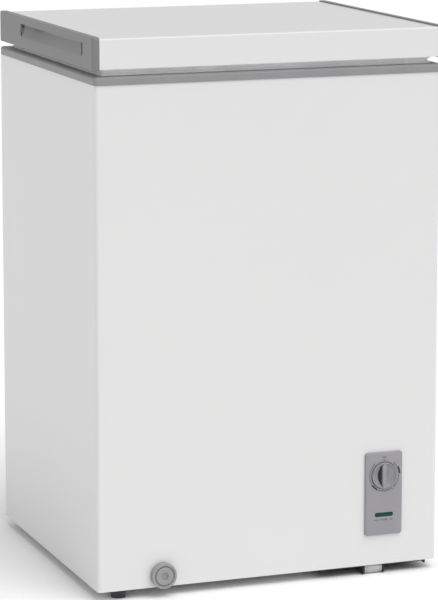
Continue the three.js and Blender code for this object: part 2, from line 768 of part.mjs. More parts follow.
function addDrain() {
  add(cabinet, 'drain_sleeve', cut(
    join(
      bar('y', sleeveRadius, sleeveFront, sleeveRear, [drainX, 0, drainZ]),
      bar('y', sleeveFlangeRadius, sleeveFront, sleeveFront + sleeveFlangeThickness,
        [drainX, 0, drainZ]),
    ),
    bar('y', sleeveBore, sleeveFront - past, sleeveRear + past, [drainX, 0, drainZ]),
  ), greyPlastic());

  const route = new PipeRoute([
    [drainX, sleeveRear + seam, drainZ], [drainX, hoseEndY, drainZ],
    [drainX, hoseEndY, tubFloor - tubWall - seam],
  ], hoseBend);
  add(cabinet, 'drain_hose', pipe(route, hoseRadius, 12, hoseRadius - hoseWall), whitePlastic());

  const spoutFront = dialFront + dialWall + seam;
  add(cabinet, 'drain_spout', turned('y', [
    [0, 0], [spoutRadius, 0], [spoutRadius, spoutLength], [spoutRadius - spoutWall, spoutLength],
    [spoutRadius - spoutWall, spoutWall], [0, spoutWall],
  ], [drainX, spoutFront, drainZ]), whitePlastic());

  const rim = dialRadius - dialWall;
  add(cabinet, 'drain_dial', turned('y', [
    [0, 0], [dialRadius - dialChamfer, 0], [dialRadius, dialChamfer], [dialRadius, dialDepth],
    [rim, dialDepth],
    [rim, dialDepth - dialSkirtDepth], [spoutRadius + seam, dialDepth - dialSkirtDepth],
    [spoutRadius + seam, dialWall], [0, dialWall],
  ], [drainX, dialFront, drainZ], 32), greyPlastic());

  const seat = tubFloor + seam;
  const tabHole = bar('x', plugHoleRadius, drainX - plugTabWidth, drainX + plugTabWidth,
    [0, hoseEndY, seat + plugFlangeThickness + plugTabHeight / 2], 12);
  add(cabinet, 'drain_plug', cut(
    join(
      turned('z', [
        [0, 0], [plugRadius - plugChamfer, 0], [plugRadius, plugChamfer], [plugRadius, plugDepth],
        [plugFlangeRadius, plugDepth], [plugFlangeRadius, plugDepth + plugFlangeThickness],
        [0, plugDepth + plugFlangeThickness],
      ], [drainX, hoseEndY, seat - plugDepth]),
      block(drainX - plugTabThickness / 2, drainX + plugTabThickness / 2, hoseEndY - plugTabWidth / 2,
        hoseEndY + plugTabWidth / 2, seat + plugFlangeThickness / 2,
        seat + plugFlangeThickness + plugTabHeight),
    ),
    tabHole,
  ), rubber());
}

// ---- basket, hung on the ledge by a hook along its front and rear

function addBasket() {
  const hookBottom = cabinetTop + seam;
  const hookTop = hookBottom + basketHookThickness;
  const inset = tubCornerRadius * (1 - Math.SQRT1_2) + basketClearance;
  const left = -tubHalfX + inset;
  const right = left + basketWidth;
  const reach = tubHalfY - inset;
  const hookReach = tubHalfY + basketHookLength;
  const bottom = hookTop - basketHeight;
  add(cabinet, 'basket', cut(
    join(
      block(left, right, -reach, reach, bottom, hookTop),
      block(left + tubCornerRadius, right - tubCornerRadius, -hookReach, hookReach, hookBottom,
        hookTop),
    ),
    block(left + basketWall, right - basketWall, -reach + basketWall, reach - basketWall,
      bottom + basketWall, hookTop + past),
  ), whiteSteel());
}

// ---- base plate with its bolts, rollers and levelling feet

const boltPlaces = () => [-1, 1].map((side) => [
  plateX + (side * boltSpan) / 2 + boltOffset, front + boltSetback,
]);

const footPlaces = () => [
  [-halfWidth + footSideInset, front + footEndInset],
  [-halfWidth + footSideInset, rear - footEndInset],
];

const rollerY = (end) => end * (cabinetDepth / 2 - rollerSetback - rollerRadius);

function rollerNotches() {
  const half = rollerWidth / 2 + cheekGap;
  return [-1, 1].map((end) => {
    const inner = rollerY(end) - end * (rollerRadius + rollerNotchGap);
    const outer = end * cabinetDepth;
    return block(plateX - half, plateX + half, Math.min(inner, outer), Math.max(inner, outer),
      0, bayFloor + past);
  });
}

function addBasePlate() {
  const [plateFront, plateRear] = [front + plateEndInset, rear - plateEndInset];
  const drop = plateBottom - plateFlangeDrop;
  const flanges = [[plateLeft, plateLeft + plateThickness], [plateRight - plateThickness, plateRight]]
    .map(([x0, x1]) => block(x0, x1, plateFront, plateRear, drop, plateTop));
  const boltHoles = boltPlaces().map(([x, y]) =>
    bar('z', boltRadius + boreClearance, drop, plateTop + past, [x, y, 0], 12));
  add(cabinet, 'base_plate', cut(
    join(block(plateLeft, plateRight, plateFront, plateRear, plateBottom, plateTop), ...flanges),
    ...rollerNotches(),
    ...boltHoles,
  ), blackSteel());

  boltPlaces().forEach(([x, y], index) => {
    const side = index === 0 ? 'left' : 'right';
    const headTop = plateBottom - seam;
    add(cabinet, `base_bolt_${side}`, join(
      bar('z', boltHeadRadius, headTop - boltHeadHeight, headTop, [x, y, 0], 6),
      bar('z', boltRadius, headTop - boltHeadHeight / 2, headTop + boltShank, [x, y, 0], 12),
    ), blackSteel());
  });
}

function addRoller(end, word) {
  const y = rollerY(end);
  const inner = rollerWidth / 2 + cheekGap;
  const outer = inner + cheekThickness;
  const top = plateBottom - seam;
  const outerY = y + end * rollerRadius;
  const innerY = outerY - end * cheekLength;
  const cheek = outline([
    [outerY, top], [outerY, cheekFoot], [y, cheekFoot], [innerY, top - webThickness], [innerY, top],
  ]);
  const webY = [innerY, innerY + end * webLength].sort((a, b) => a - b);
  add(cabinet, `roller_bracket_${word}`, cut(
    join(
      prism('x', cheek, plateX - outer, plateX - inner),
      prism('x', cheek, plateX + inner, plateX + outer),
      block(plateX - outer, plateX + outer, ...webY, top - webThickness, top),
    ),
    bar('x', rollerPinRadius + boreClearance, plateX - outer - past, plateX + outer + past,
      [0, y, rollerRadius], 12),
  ), blackSteel());
  const pinReach = outer + rollerPinProud;
  add(cabinet, `roller_pin_${word}`, bar('x', rollerPinRadius, plateX - pinReach, plateX + pinReach,
    [0, y, rollerRadius], 12), zincSteel());
  add(cabinet, `roller_${word}`, cut(
    bar('x', rollerRadius, plateX - rollerWidth / 2, plateX + rollerWidth / 2,
      [0, y, rollerRadius], 32),
    bar('x', rollerPinRadius + boreClearance, plateX - rollerWidth, plateX + rollerWidth,
      [0, y, rollerRadius], 12),
  ), paint(0xc9c9c7, 0.45));
}

function addFeet() {
  const footTop = groundClearance - seam;
  footPlaces().forEach(([x, y], index) => {
    const word = index === 0 ? 'front' : 'rear';
    add(cabinet, `foot_${word}`, turned('z', [
      [0, 0], [footBottomRadius, 0], [footTopRadius, footTop], [studRadius, footTop],
      [studRadius, footTop + studLength], [0, footTop + studLength],
    ], [x, y, 0], 20), darkPlastic());
  });
}

// ---- sealed cooling system

function addCompressor() {
  const foot = compressorFoot;
  const grommetPlaces = [-1, 1].flatMap((sx) => [-1, 1].map((sy) => [
    compressorX + (sx * (compressorFootLength - 2 * grommetRadius)) / 2,
    compressorY + (sy * compressorFootSpan) / 2,
  ]));
  const straps = [-1, 1].map((side) => {
    const y = compressorY + (side * compressorFootSpan) / 2;
    return block(compressorX - compressorFootLength / 2, compressorX + compressorFootLength / 2,
      y - compressorFootWidth / 2, y + compressorFootWidth / 2, foot, foot + compressorFootThickness);
  });
  const sized = ([radius, height]) => [radius * compressorRadius, height * compressorHeight];
  const shell = turned('z', [
    ...compressorProfile.map(sized),
    ...compressorSeam.map((height) => [compressorSeamRadius, height * compressorHeight]),
    ...compressorCrown.map(sized),
  ], [compressorX, compressorY, foot], 24);
  const holes = grommetPlaces.map(([x, y]) => bar('z', grommetNeck + boreClearance, foot - past,
    foot + compressorFootThickness + past, [x, y, 0], 12));
  add(cabinet, 'compressor', cut(join(shell, ...straps), ...holes), blackSteel());

  grommetPlaces.forEach(([x, y], index) => {
    add(cabinet, `compressor_grommet_${index + 1}`, turned('z', [
      [0, 0], [grommetRadius, 0], [grommetRadius, grommetHeight - seam],
      [grommetNeck, grommetHeight - seam],
      [grommetNeck, grommetHeight + 2 * compressorFootThickness],
      [0, grommetHeight + 2 * compressorFootThickness],
    ], [x, y, plateTop + seam], 12), darkPlastic());
  });

  const boxRear = compressorY - compressorSeamRadius - seam;
  const boxFloor = foot + terminalRise;
  add(cabinet, 'terminal_cover', prism('z', rectangle(compressorX - terminalWidth / 2,
    boxRear - terminalDepth, compressorX + terminalWidth / 2, boxRear, terminalCornerRadius),
  boxFloor, boxFloor + terminalHeight), darkPlastic());
}

function addRefrigerantLines() {
  const port = (direction, height) => {
    const along = new THREE.Vector2(...direction).setLength(compressorSeamRadius + seam);
    return [compressorX + along.x, compressorY + along.y, height];
  };
  const suctionPort = compressorFoot + suctionPortRise;
  const towardsSuction = [suctionX - compressorX, evaporatorY - compressorY];
  const evaporatorFoot = evaporatorBottom - evaporatorTail;
  add(cabinet, 'suction_line', pipe(new PipeRoute([
    port(towardsSuction, suctionPort), [suctionX, evaporatorY, suctionPort],
    [suctionX, evaporatorY, evaporatorFoot - seam],
  ], pipeBend), evaporatorPipe), copper());

  const loops = [[suctionX, evaporatorY, evaporatorFoot]];
  for (let loop = 0; loop < evaporatorLoops; loop += 1) {
    const z = evaporatorBottom + loop * evaporatorPitch;
    const [start, end] = [suctionX, suctionX - evaporatorGap];
    const round = [
      [start, evaporatorY, z, pipeBend], [evaporatorX, evaporatorY, z],
      [evaporatorX, -evaporatorY, z], [-evaporatorX, -evaporatorY, z],
      [-evaporatorX, evaporatorY, z], [end, evaporatorY, z, pipeBend],
    ];
    loops.push(...(loop % 2 === 0 ? round : round.reverse()));
  }
  add(cabinet, 'evaporator_coil', pipe(new PipeRoute(loops, evaporatorBend), evaporatorPipe), copper());

  const dischargePort = port([-1, 0], feedZ);
  const dischargeEnd = condenserRearY - 2 * pipeBend;
  add(cabinet, 'discharge_line', pipe(new PipeRoute([
    dischargePort, [dischargeX, compressorY, feedZ], [dischargeX, dischargeEnd - seam, feedZ],
  ], pipeBend), condenserPipe), copper());

  const [passFront, passRear] = [front + condenserTurn, rear - condenserTurn];
  const coil = [
    [dischargeX, dischargeEnd, feedZ], [dischargeX, condenserRearY, feedZ],
    [condenserX, condenserRearY, feedZ], [condenserX, passFront, feedZ],
  ];
  for (let pass = 0; pass < condenserPasses; pass += 1) {
    const z = condenserBottom + pass * condenserPitch;
    const ends = pass % 2 === 0 ? [passFront, passRear] : [passRear, passFront];
    coil.push(...ends.map((y) => [condenserX, y, z]));
  }
  const drierFoot = returnZ + drierRise;
  coil.splice(-1, 1,
    [condenserX, condenserRearY, condenserTop], [0, condenserRearY, condenserTop],
    [0, condenserRearY, returnZ], [drierX, condenserRearY, returnZ], [drierX, drierY, returnZ],
    [drierX, drierY, drierFoot - seam]);
  add(cabinet, 'condenser_coil', pipe(new PipeRoute(coil, condenserBend), condenserPipe), copper());

  const neck = drierRadius;
  add(cabinet, 'filter_drier', turned('z', [
    [0, 0], [condenserPipe, 0], [condenserPipe, neck], [drierRadius, 2 * neck],
    [drierRadius, drierLength - 2 * neck], [condenserPipe, drierLength - neck],
    [condenserPipe, drierLength], [0, drierLength],
  ], [drierX, drierY, drierFoot], 12), copper());
  add(cabinet, 'capillary_tube', pipe(new PipeRoute([
    [drierX, drierY, drierFoot + drierLength + seam], [drierX, drierY, evaporatorTop],
    [drierX, evaporatorY, evaporatorTop], [suctionX - seam, evaporatorY, evaporatorTop],
  ], pipeBend), capillaryRadius), copper());
}

// ---- rear grille and mains inlet

function addRearGrille() {
  const [left, right] = [bayLeft + seam, innerHalf - seam];
  const [bottom, top] = [groundClearance + seam, bayTop - seam];
  const span = (right - left - grilleBorder) / grilleSlotColumns;
  const slots = [];
  for (let row = 0; row < grilleSlotRows; row += 1) {
    const z = top - grilleBorder - row * grilleSlotPitch;
    for (let column = 0; column < grilleSlotColumns; column += 1) {
      const x = left + grilleBorder + column * span;
      const clearOfInlet = z - grilleSlotHeight > bottom + inletInset + inletRadius || column === 0;
      if (clearOfInlet && z - grilleSlotHeight > bottom + grilleBorder / 2) {
        slots.push(block(x, x + span - grilleBorder, innerRear - past, rear + past,
          z - grilleSlotHeight, z));
      }
    }
  }
  const inletPlace = [right - inletInset, 0, bottom + inletInset];
  add(cabinet, 'rear_grille', cut(
    block(left, right, innerRear, rear, bottom, top),
    ...slots,
    bar('y', inletNeck + boreClearance, innerRear - past, rear + past, inletPlace),
  ), zincSteel());
  const neckLength = inletLength - inletFlangeThickness;
  add(cabinet, 'mains_inlet', turned('y', [
    [0, 0], [inletNeck, 0], [inletNeck, neckLength], [inletRadius, neckLength],
    [inletRadius, inletLength], [0, inletLength],
  ], [inletPlace[0], rear + seam - neckLength, inletPlace[2]]), darkPlastic());
}

// ---- lid

function addLid() {
  const skin = channel(lidFront, lidRear, lidBottom, lidTop, lidEdgeRadius, lidSheet);
  add(lid, 'lid_skin', prism('x', skin, -lidHalf, lidHalf), whiteSteel());

  const [innerY0, innerY1] = [lidFront + lidSheet + seam, lidRear - lidSheet - seam];
  const plug = (grow, bottom, top) => prism('z', rectangle(
    -tubHalfX + lidPlugClearance - grow, -tubHalfY + lidPlugClearance - grow,
    tubHalfX - lidPlugClearance + grow, tubHalfY - lidPlugClearance + grow, tubCornerRadius + grow,
  ), bottom, top);
  const rimTop = lidBottom + lidLinerWall;
  add(lid, 'lid_liner', cut(
    join(
      block(-lidHalf + seam, lidHalf - seam, innerY0, innerY1, lidBottom, rimTop),
      plug(0, lidBottom - lidPlugDepth, rimTop),
    ),
    plug(-lidLinerWall, lidBottom - lidPlugDepth + lidLinerWall, rimTop + past),
  ), whitePlastic());

  const topInside = lidTop - lidSheet - seam;
  const edge = lidEdgeRadius - lidSheet;
  const core = outline([
    [innerY0, rimTop + seam], [innerY1, rimTop + seam],
    [innerY1, topInside, edge], [innerY0, topInside, edge],
  ]);
  const plugGap = lidLinerWall + seam;
  add(lid, 'lid_foam', join(
    prism('x', core, -lidHalf + seam, lidHalf - seam),
    plug(-plugGap, lidBottom - lidPlugDepth + plugGap, rimTop + past),
  ), foam());

  const gasketX = halfWidth - gasketSideInset;
  const gasketY0 = front + gasketFrontInset;
  const gasketY1 = mouthHalfY + gasketWidth + gasketRearMargin;
  const ring = (inset) => rectangle(-gasketX + inset, gasketY0 + inset, gasketX - inset,
    gasketY1 - inset, Math.max(gasketCornerRadius - inset, 0));
  add(lid, 'lid_gasket', cut(
    prism('z', ring(0), gasketBottom, lidBottom - seam),
    prism('z', ring(gasketWidth), gasketBottom - past, lidBottom + past),
  ), rubber());
}

function addLidCap(side, word) {
  const inner = lidHalf + seam;
  const outer = inner + capThickness;
  const [bottom, top] = [lidBottom - capDrop, lidTop + capLip];
  const x = (value) => side * value;
  const plan = outline([
    [x(inner), lidFront], [x(outer), lidFront, capCornerRadius],
    [x(outer), lidRear, capRearCornerRadius], [x(inner), lidRear],
  ]);
  const slab = (x0, x1, ...rest) => block(Math.min(x(x0), x(x1)), Math.max(x(x0), x(x1)), ...rest);
  const gripTop = top - gripTopMargin;
  const gripFront = lidFront + gripFrontMargin;
  const grip = rectangle(gripFront, gripTop - gripHeight, gripFront + gripLength, gripTop,
    gripCornerRadius);
  const gripFrom = Math.min(x(outer - gripDepth), x(outer + past));
  add(lid, `lid_cap_${word}`, cut(
    prism('z', plan, bottom, top),
    slab(inner - past, outer - capFaceWall, lidFront + capWall, lidRear - capWall,
      bottom + capWall, top - capWall),
    prism('x', grip, gripFrom, gripFrom + gripDepth + past),
  ), greyPlastic());
}

// ---- hinges

function addHinge(side, word) {
  const x = side * (halfWidth - hingeInset);
  const half = hingeWidth / 2;
  const back = rear + seam;
  const ear = new THREE.Shape();
  ear.moveTo(back, pivotZ - 2 * hingeEarRadius);
  ear.lineTo(back + hingeEarThickness, pivotZ - 2 * hingeEarRadius);
  ear.lineTo(pivotY + hingeEarRadius, pivotZ);
  ear.absarc(pivotY, pivotZ, hingeEarRadius, 0, Math.PI, false);
  ear.lineTo(back, pivotZ);
  const earAt = (x0) => prism('x', ear, x0, x0 + hingeEarThickness, 5);
  const plateTopZ = pivotZ - hingeEarRadius;
  add(cabinet, `hinge_base_${word}`, cut(
    join(
      block(x - half, x + half, back, back + hingeEarThickness, pivotZ - hingePlateDrop,
        plateTopZ),
      earAt(x - half),
      earAt(x + half - hingeEarThickness),
    ),
    bar('x', hingePinRadius + boreClearance, x - half - past, x + half + past, [0, pivotY, pivotZ]),
  ), zincSteel());

  add(cabinet, `hinge_pin_${word}`, join(
    bar('x', hingePinRadius, x - half - hingePinHead, x + half + hingePinHead,
      [0, pivotY, pivotZ], 12),
    bar('x', hingePinHeadRadius, x + half + seam, x + half + seam + hingePinHead,
      [0, pivotY, pivotZ], 12),
  ), zincSteel());

  const barrelLeft = x - half + hingeEarThickness + seam;
  const barrelRight = barrelLeft + hingeBarrelLength;
  const leafFront = lidRear + seam;
  const web = [pivotZ + hingeBarrelRadius - hingeArmThickness, pivotZ + hingeBarrelRadius];
  add(lid, `hinge_arm_${word}`, cut(
    join(
      block(x - hingeArmWidth / 2, x + hingeArmWidth / 2, leafFront,
        leafFront + hingeArmThickness, web[0], pivotZ + hingeArmRise),
      block(barrelLeft, barrelRight, leafFront, pivotY, ...web),
      bar('x', hingeBarrelRadius, barrelLeft, barrelRight, [0, pivotY, pivotZ]),
    ),
    bar('x', hingePinRadius + boreClearance, barrelLeft - past, barrelRight + past,
      [0, pivotY, pivotZ]),
  ), zincSteel());

  const springLeft = barrelRight + seam + springWireRadius;
  const springRight = x + half - hingeEarThickness - seam - springWireRadius;
  const coilRadius = hingePinRadius + springWireRadius + springClearance;
  const stepsPerTurn = 10;
  const turns = Array.from({ length: springTurns * stepsPerTurn + 1 }, (_, i) => {
    const angle = (2 * Math.PI * i) / stepsPerTurn;
    const along = springLeft + ((springRight - springLeft) * i) / (springTurns * stepsPerTurn);
    return [along, pivotY + coilRadius * Math.cos(angle), pivotZ + coilRadius * Math.sin(angle)];
  });
  add(cabinet, `hinge_spring_${word}`, pipe(new PipeRoute(turns, 0), springWireRadius), zincSteel());
}

addCabinetSkin();
addTub();
addCollar();
addFoam();
addControls();
addDrain();
addBasket();
addBasePlate();
addRoller(-1, 'front');
addRoller(1, 'rear');
addFeet();
addCompressor();
addRefrigerantLines();
addRearGrille();
addLid();
addLidCap(-1, 'left');
addLidCap(1, 'right');
addHinge(-1, 'left');
addHinge(1, 'right');

// The drain dial is the foremost piece and the hinges are the rearmost: the origin is midway between.
freezer.position.y = -(dialFront + rear + hingeReach) / 2;

export default freezer;
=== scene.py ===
import math

import bmesh
import bpy
from mathutils import Matrix, Vector


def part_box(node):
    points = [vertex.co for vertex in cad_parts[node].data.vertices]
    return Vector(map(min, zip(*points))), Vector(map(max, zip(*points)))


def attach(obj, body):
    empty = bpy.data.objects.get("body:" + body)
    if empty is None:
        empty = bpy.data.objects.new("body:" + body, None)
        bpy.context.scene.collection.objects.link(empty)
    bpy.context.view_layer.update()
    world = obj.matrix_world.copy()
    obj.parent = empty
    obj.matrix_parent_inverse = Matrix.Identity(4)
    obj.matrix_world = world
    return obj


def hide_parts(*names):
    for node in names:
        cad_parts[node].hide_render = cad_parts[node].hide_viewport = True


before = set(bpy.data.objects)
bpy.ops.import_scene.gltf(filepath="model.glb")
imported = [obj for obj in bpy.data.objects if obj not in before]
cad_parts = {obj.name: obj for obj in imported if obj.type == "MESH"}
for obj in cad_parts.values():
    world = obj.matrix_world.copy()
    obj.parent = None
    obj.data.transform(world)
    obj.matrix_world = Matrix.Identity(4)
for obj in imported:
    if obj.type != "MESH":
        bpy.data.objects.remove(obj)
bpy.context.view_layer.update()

# Studio: a camera a little above the lid and to the left of the freezer, a pale floor,
# an even sky and one broad soft light from above. None of it belongs to the freezer.
scene = bpy.context.scene
scene.view_settings.view_transform = "Standard"

lens = bpy.data.cameras.new("studio_camera")
lens.lens = 177.95
lens.sensor_width = 36
lens.shift_y = -0.16
lens.clip_end = 60
camera = bpy.data.objects.new("studio_camera", lens)
camera.location = (-1.5997, -4.3134, 1.2650)
tilt_down, turn_right = 8.827, 20.452
camera.rotation_euler = (math.radians(90 - tilt_down), 0, math.radians(-turn_right))
scene.collection.objects.link(camera)
scene.camera = camera

sky = bpy.data.worlds.new("studio_sky")
sky.use_nodes = True
sky.node_tree.nodes["Background"].inputs["Color"].default_value = (1, 1, 1, 1)
sky.node_tree.nodes["Background"].inputs["Strength"].default_value = 0.6
scene.world = sky

key_light = bpy.data.lights.new("soft_key", "SUN")
key_light.energy = 1.62
key_light.angle = math.radians(50)
key = bpy.data.objects.new("soft_key", key_light)
key.rotation_euler = Vector((0.2, -0.45, 0.87)).to_track_quat("Z", "Y").to_euler()
scene.collection.objects.link(key)

floor_mesh = bmesh.new()
bmesh.ops.create_grid(floor_mesh, x_segments=1, y_segments=1, size=12)
floor_data = bpy.data.meshes.new("studio_floor")
floor_mesh.to_mesh(floor_data)
floor_mesh.free()
studio_floor = bpy.data.objects.new("studio_floor", floor_data)
scene.collection.objects.link(studio_floor)
floor_paint = bpy.data.materials.new("floor_paint")
floor_paint.use_nodes = True
floor_surface = floor_paint.node_tree.nodes["Principled BSDF"]
floor_surface.inputs["Base Color"].default_value = (0.99, 0.99, 0.99, 1)
floor_surface.inputs["Roughness"].default_value = 0.9
floor_data.materials.append(floor_paint)


# Cabinet wrap: one sheet of white enamelled steel, bent round the left side, the front and
# the right side. It stands on the bottom pan and its upper edge goes up into the collar.
class Channel:
    """One output of a finish's nodes. Sums and products of channels add their own Math nodes."""

    def __init__(self, finish, socket):
        self.finish = finish
        self.socket = socket

    def combine(self, operation, other):
        """A Math node that works on this channel and a number or another channel."""
        return self.finish.node("ShaderNodeMath", {"operation": operation}, {0: self, 1: other})

    def __add__(self, other):
        return self.combine("ADD", other)

    def __mul__(self, other):
        return self.combine("MULTIPLY", other)

    __radd__ = __add__
    __rmul__ = __mul__


class Finish:
    """A material whose nodes are added one by one and joined to its surface at the end."""

    def __init__(self, name, **fixed):
        self.material = bpy.data.materials.new(name)
        self.material.use_nodes = True
        self.tree = self.material.node_tree
        self.surface = self.tree.nodes["Principled BSDF"]
        for socket, value in fixed.items():
            self.surface.inputs[socket.replace("_", " ")].default_value = value
        self.place = self.node("ShaderNodeTexCoord", output="Object")

    def node(self, kind, settings=None, values=None, output=0):
        made = self.tree.nodes.new(kind)
        for name, value in (settings or {}).items():
            setattr(made, name, value)
        for name, value in (values or {}).items():
            if isinstance(value, Channel):
                self.tree.links.new(value.socket, made.inputs[name])
            else:
                made.inputs[name].default_value = value
        return Channel(self, made.outputs[output])

    def noise(self, scale, detail=2.0, rough=0.5):
        """Soft random values round 0.5. The scale is in cells to the metre."""
        values = {"Vector": self.place, "Scale": scale, "Detail": detail, "Roughness": rough}
        return self.node("ShaderNodeTexNoise", None, values)

    def blend(self, amount, first, second):
        """A colour that goes from the first to the second as the amount goes from 0 to 1."""
        values = {0: amount, 6: first, 7: second}
        return self.node("ShaderNodeMix", {"data_type": "RGBA"}, values, output=2)

    def show(self, colour, roughness, height, depth, strength):
        """Joins colour, roughness and surface relief, whose full depth is in metres."""
        values = {"Strength": strength, "Distance": depth, "Height": height}
        relief = self.node("ShaderNodeBump", None, values)
        for name, channel in (("Base Color", colour), ("Roughness", roughness), ("Normal", relief)):
            self.tree.links.new(channel.socket, self.surface.inputs[name])
        return self.material


def enamel(name, colour, shine):
    """Baked enamel on steel: faint clouding in its tone, and the fine orange peel of the spray."""
    finish = Finish(name, Specular_IOR_Level=0.5, Coat_Weight=0.25, Coat_Roughness=0.12)
    cloud = finish.noise(3.5, 3.0)
    deep = tuple(part * 0.975 for part in colour) + (1,)
    tone = finish.blend(cloud, deep, tuple(colour) + (1,))
    peel = finish.noise(520, 2.0) * 0.75 + finish.noise(1600, 1.0) * 0.25
    return finish.show(tone, cloud * 0.08 + shine, peel, 0.00006, 0.35)


def piece(name, mesh, material, body, slot, *stands_for):
    """Makes a finished mesh a piece of the freezer: smooth but for its real edges."""
    bmesh.ops.remove_doubles(mesh, verts=mesh.verts, dist=1e-6)
    for face in mesh.faces:
        face.smooth = True
    for edge in mesh.edges:
        broad = max((face.calc_area() for face in edge.link_faces), default=0) > 4e-4
        edge.smooth = edge.calc_face_angle(0) < (0.02 if broad else 0.6)
    data = bpy.data.meshes.new(name)
    mesh.to_mesh(data)
    mesh.free()
    data.materials.append(material)
    made = bpy.data.objects.new(name, data)
    scene.collection.objects.link(made)
    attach(made, body)
    if stands_for:
        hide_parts(*stands_for)


def box_of(mesh, low, high):
    """A plain box between two corners, as the start of a piece."""
    made = bmesh.ops.create_cube(mesh, size=1)["verts"]
    low, high = Vector(low), Vector(high)
    bmesh.ops.scale(mesh, vec=high - low, verts=made)
    bmesh.ops.translate(mesh, vec=(low + high) / 2, verts=made)
    return made


def edges_where(mesh, test):
    """The edges whose middle and direction pass the test."""
    found = []
    for edge in mesh.edges:
        a, b = edge.verts[0].co, edge.verts[1].co
        if test((a + b) / 2, (b - a).normalized()):
            found.append(edge)
    return found


def soften(mesh, edges, radius, segments):
    """Rounds edges over with an arc."""
    bmesh.ops.bevel(mesh, geom=edges, offset=radius, segments=segments, profile=0.5,
                    affect="EDGES", material=-1)


def drop_faces(mesh, test):
    """Opens a shell where its faces' normals pass the test."""
    gone = [face for face in mesh.faces if test(face.normal)]
    bmesh.ops.delete(mesh, geom=gone, context="FACES")


def outline(mesh, low, high, radius, lift, facing=Matrix(), segments=8):
    """A closed rounded rectangle at one height, as the edges of a wall that is bridged later."""
    corners = bmesh.ops.create_grid(mesh, x_segments=1, y_segments=1, size=0.5)["verts"]
    bmesh.ops.scale(mesh, vec=(high[0] - low[0], high[1] - low[1], 1), verts=corners)
    middle = ((low[0] + high[0]) / 2, (low[1] + high[1]) / 2, lift)
    bmesh.ops.translate(mesh, vec=middle, verts=corners)
    arcs = bmesh.ops.bevel(mesh, geom=corners, offset=radius, offset_type="OFFSET", profile=0.5,
                           segments=segments, affect="VERTICES", material=-1)["verts"]
    sheet = arcs[0].link_faces[0]
    loop = list(sheet.edges)
    bmesh.ops.transform(mesh, matrix=facing, verts=list(sheet.verts))
    bmesh.ops.delete(mesh, geom=[sheet], context="FACES_ONLY")
    return loop


def wall(mesh, loops, joined=False):
    """Bridges each outline to the next one, and the last to the first where the wall is a ring."""
    for first, second in zip(loops, loops[1:]):
        bmesh.ops.bridge_loops(mesh, edges=first + second)
    if joined:
        bmesh.ops.bridge_loops(mesh, edges=loops[-1] + loops[0])


def flat_fill(mesh, loops, normal):
    """A flat face inside the first outline, with the other outlines as openings in it."""
    bmesh.ops.triangle_fill(mesh, use_beauty=True, edges=sum(loops, []), normal=normal)


white_enamel = enamel("white_enamel", (0.74, 0.74, 0.737), 0.3)

shell_low, shell_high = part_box("cabinet_shell")
shell_sheet = 0.0012
shell_bend = 0.005
front_facing = Matrix.Rotation(math.pi / 2, 4, "X")
wrap = bmesh.new()
box_of(wrap, shell_low, shell_high)
drop_faces(wrap, lambda normal: normal.y > 0.9 or abs(normal.z) > 0.9)
upright_edges = edges_where(wrap, lambda middle, way: abs(way.z) > 0.9 and middle.y < 0)
soften(wrap, upright_edges, shell_bend, 8)
front_face = min(wrap.faces, key=lambda face: face.normal.y)
front_edges = list(front_face.edges)
bmesh.ops.delete(wrap, geom=[front_face], context="FACES_ONLY")
front_holes = []
for node, bore in (("thermostat_shaft", 0.0055), ("indicator_lamp", 0.0025), ("drain_spout", 0.0125)):
    low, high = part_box(node)
    middle = (low + high) / 2
    long = 0.006 if node == "indicator_lamp" else 0
    front_holes.append(outline(wrap, (middle.x - bore - long, middle.z - bore),
                               (middle.x + bore + long, middle.z + bore), bore * 0.999,
                               -shell_low.y, front_facing))
flat_fill(wrap, [front_edges] + front_holes, (0, -1, 0))
bmesh.ops.recalc_face_normals(wrap, faces=wrap.faces)
# The sheet is thickened inwards, so its front has to face forwards first.
if next(face for face in wrap.faces if abs(face.normal.y) > 0.99).normal.y > 0:
    bmesh.ops.reverse_faces(wrap, faces=wrap.faces)
bmesh.ops.solidify(wrap, geom=wrap.faces, thickness=shell_sheet)
piece("cabinet_wrap", wrap, white_enamel, "cabinet", "white_steel", "cabinet_shell")


# Back panel: a flat white sheet behind the cabinet, cut away for the machine grille. Pan-head
# screws along its edges hold it to the wrap's flanges.
def turn(mesh, profile, foot, along, steps):
    """Spins a profile of (radius, distance) pairs once round the axis that starts at the foot."""
    foot, along = Vector(foot), Vector(along).normalized()
    side = along.orthogonal().normalized()
    points = [mesh.verts.new(foot + side * radius + along * reach) for radius, reach in profile]
    lines = [mesh.edges.new(pair) for pair in zip(points, points[1:])]
    before = set(mesh.verts) - set(points)
    bmesh.ops.spin(mesh, geom=points + lines, cent=foot, axis=along, dvec=(0, 0, 0),
                   angle=math.tau, steps=steps, use_merge=True)
    made = [vert for vert in mesh.verts if vert not in before]
    bmesh.ops.remove_doubles(mesh, verts=made, dist=1e-6)
    faces = {face for vert in mesh.verts if vert not in before for face in vert.link_faces}
    bmesh.ops.recalc_face_normals(mesh, faces=list(faces))


def screw(mesh, seat, out, radius=0.0038):
    """A pan head with a square driver hole, standing on its seat."""
    profile = [(0, -0.0006), (radius, -0.0006), (radius, radius * 0.25),
               (radius * 0.85, radius * 0.5), (radius * 0.5, radius * 0.64),
               (radius * 0.34, radius * 0.64), (radius * 0.3, radius * 0.2), (0, radius * 0.2)]
    turn(mesh, profile, seat, out, 16)


def dress(material, *nodes):
    """Gives CAD nodes whose shape is right their finish."""
    for name in nodes:
        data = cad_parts[name].data
        data.materials.clear()
        data.materials.append(material)


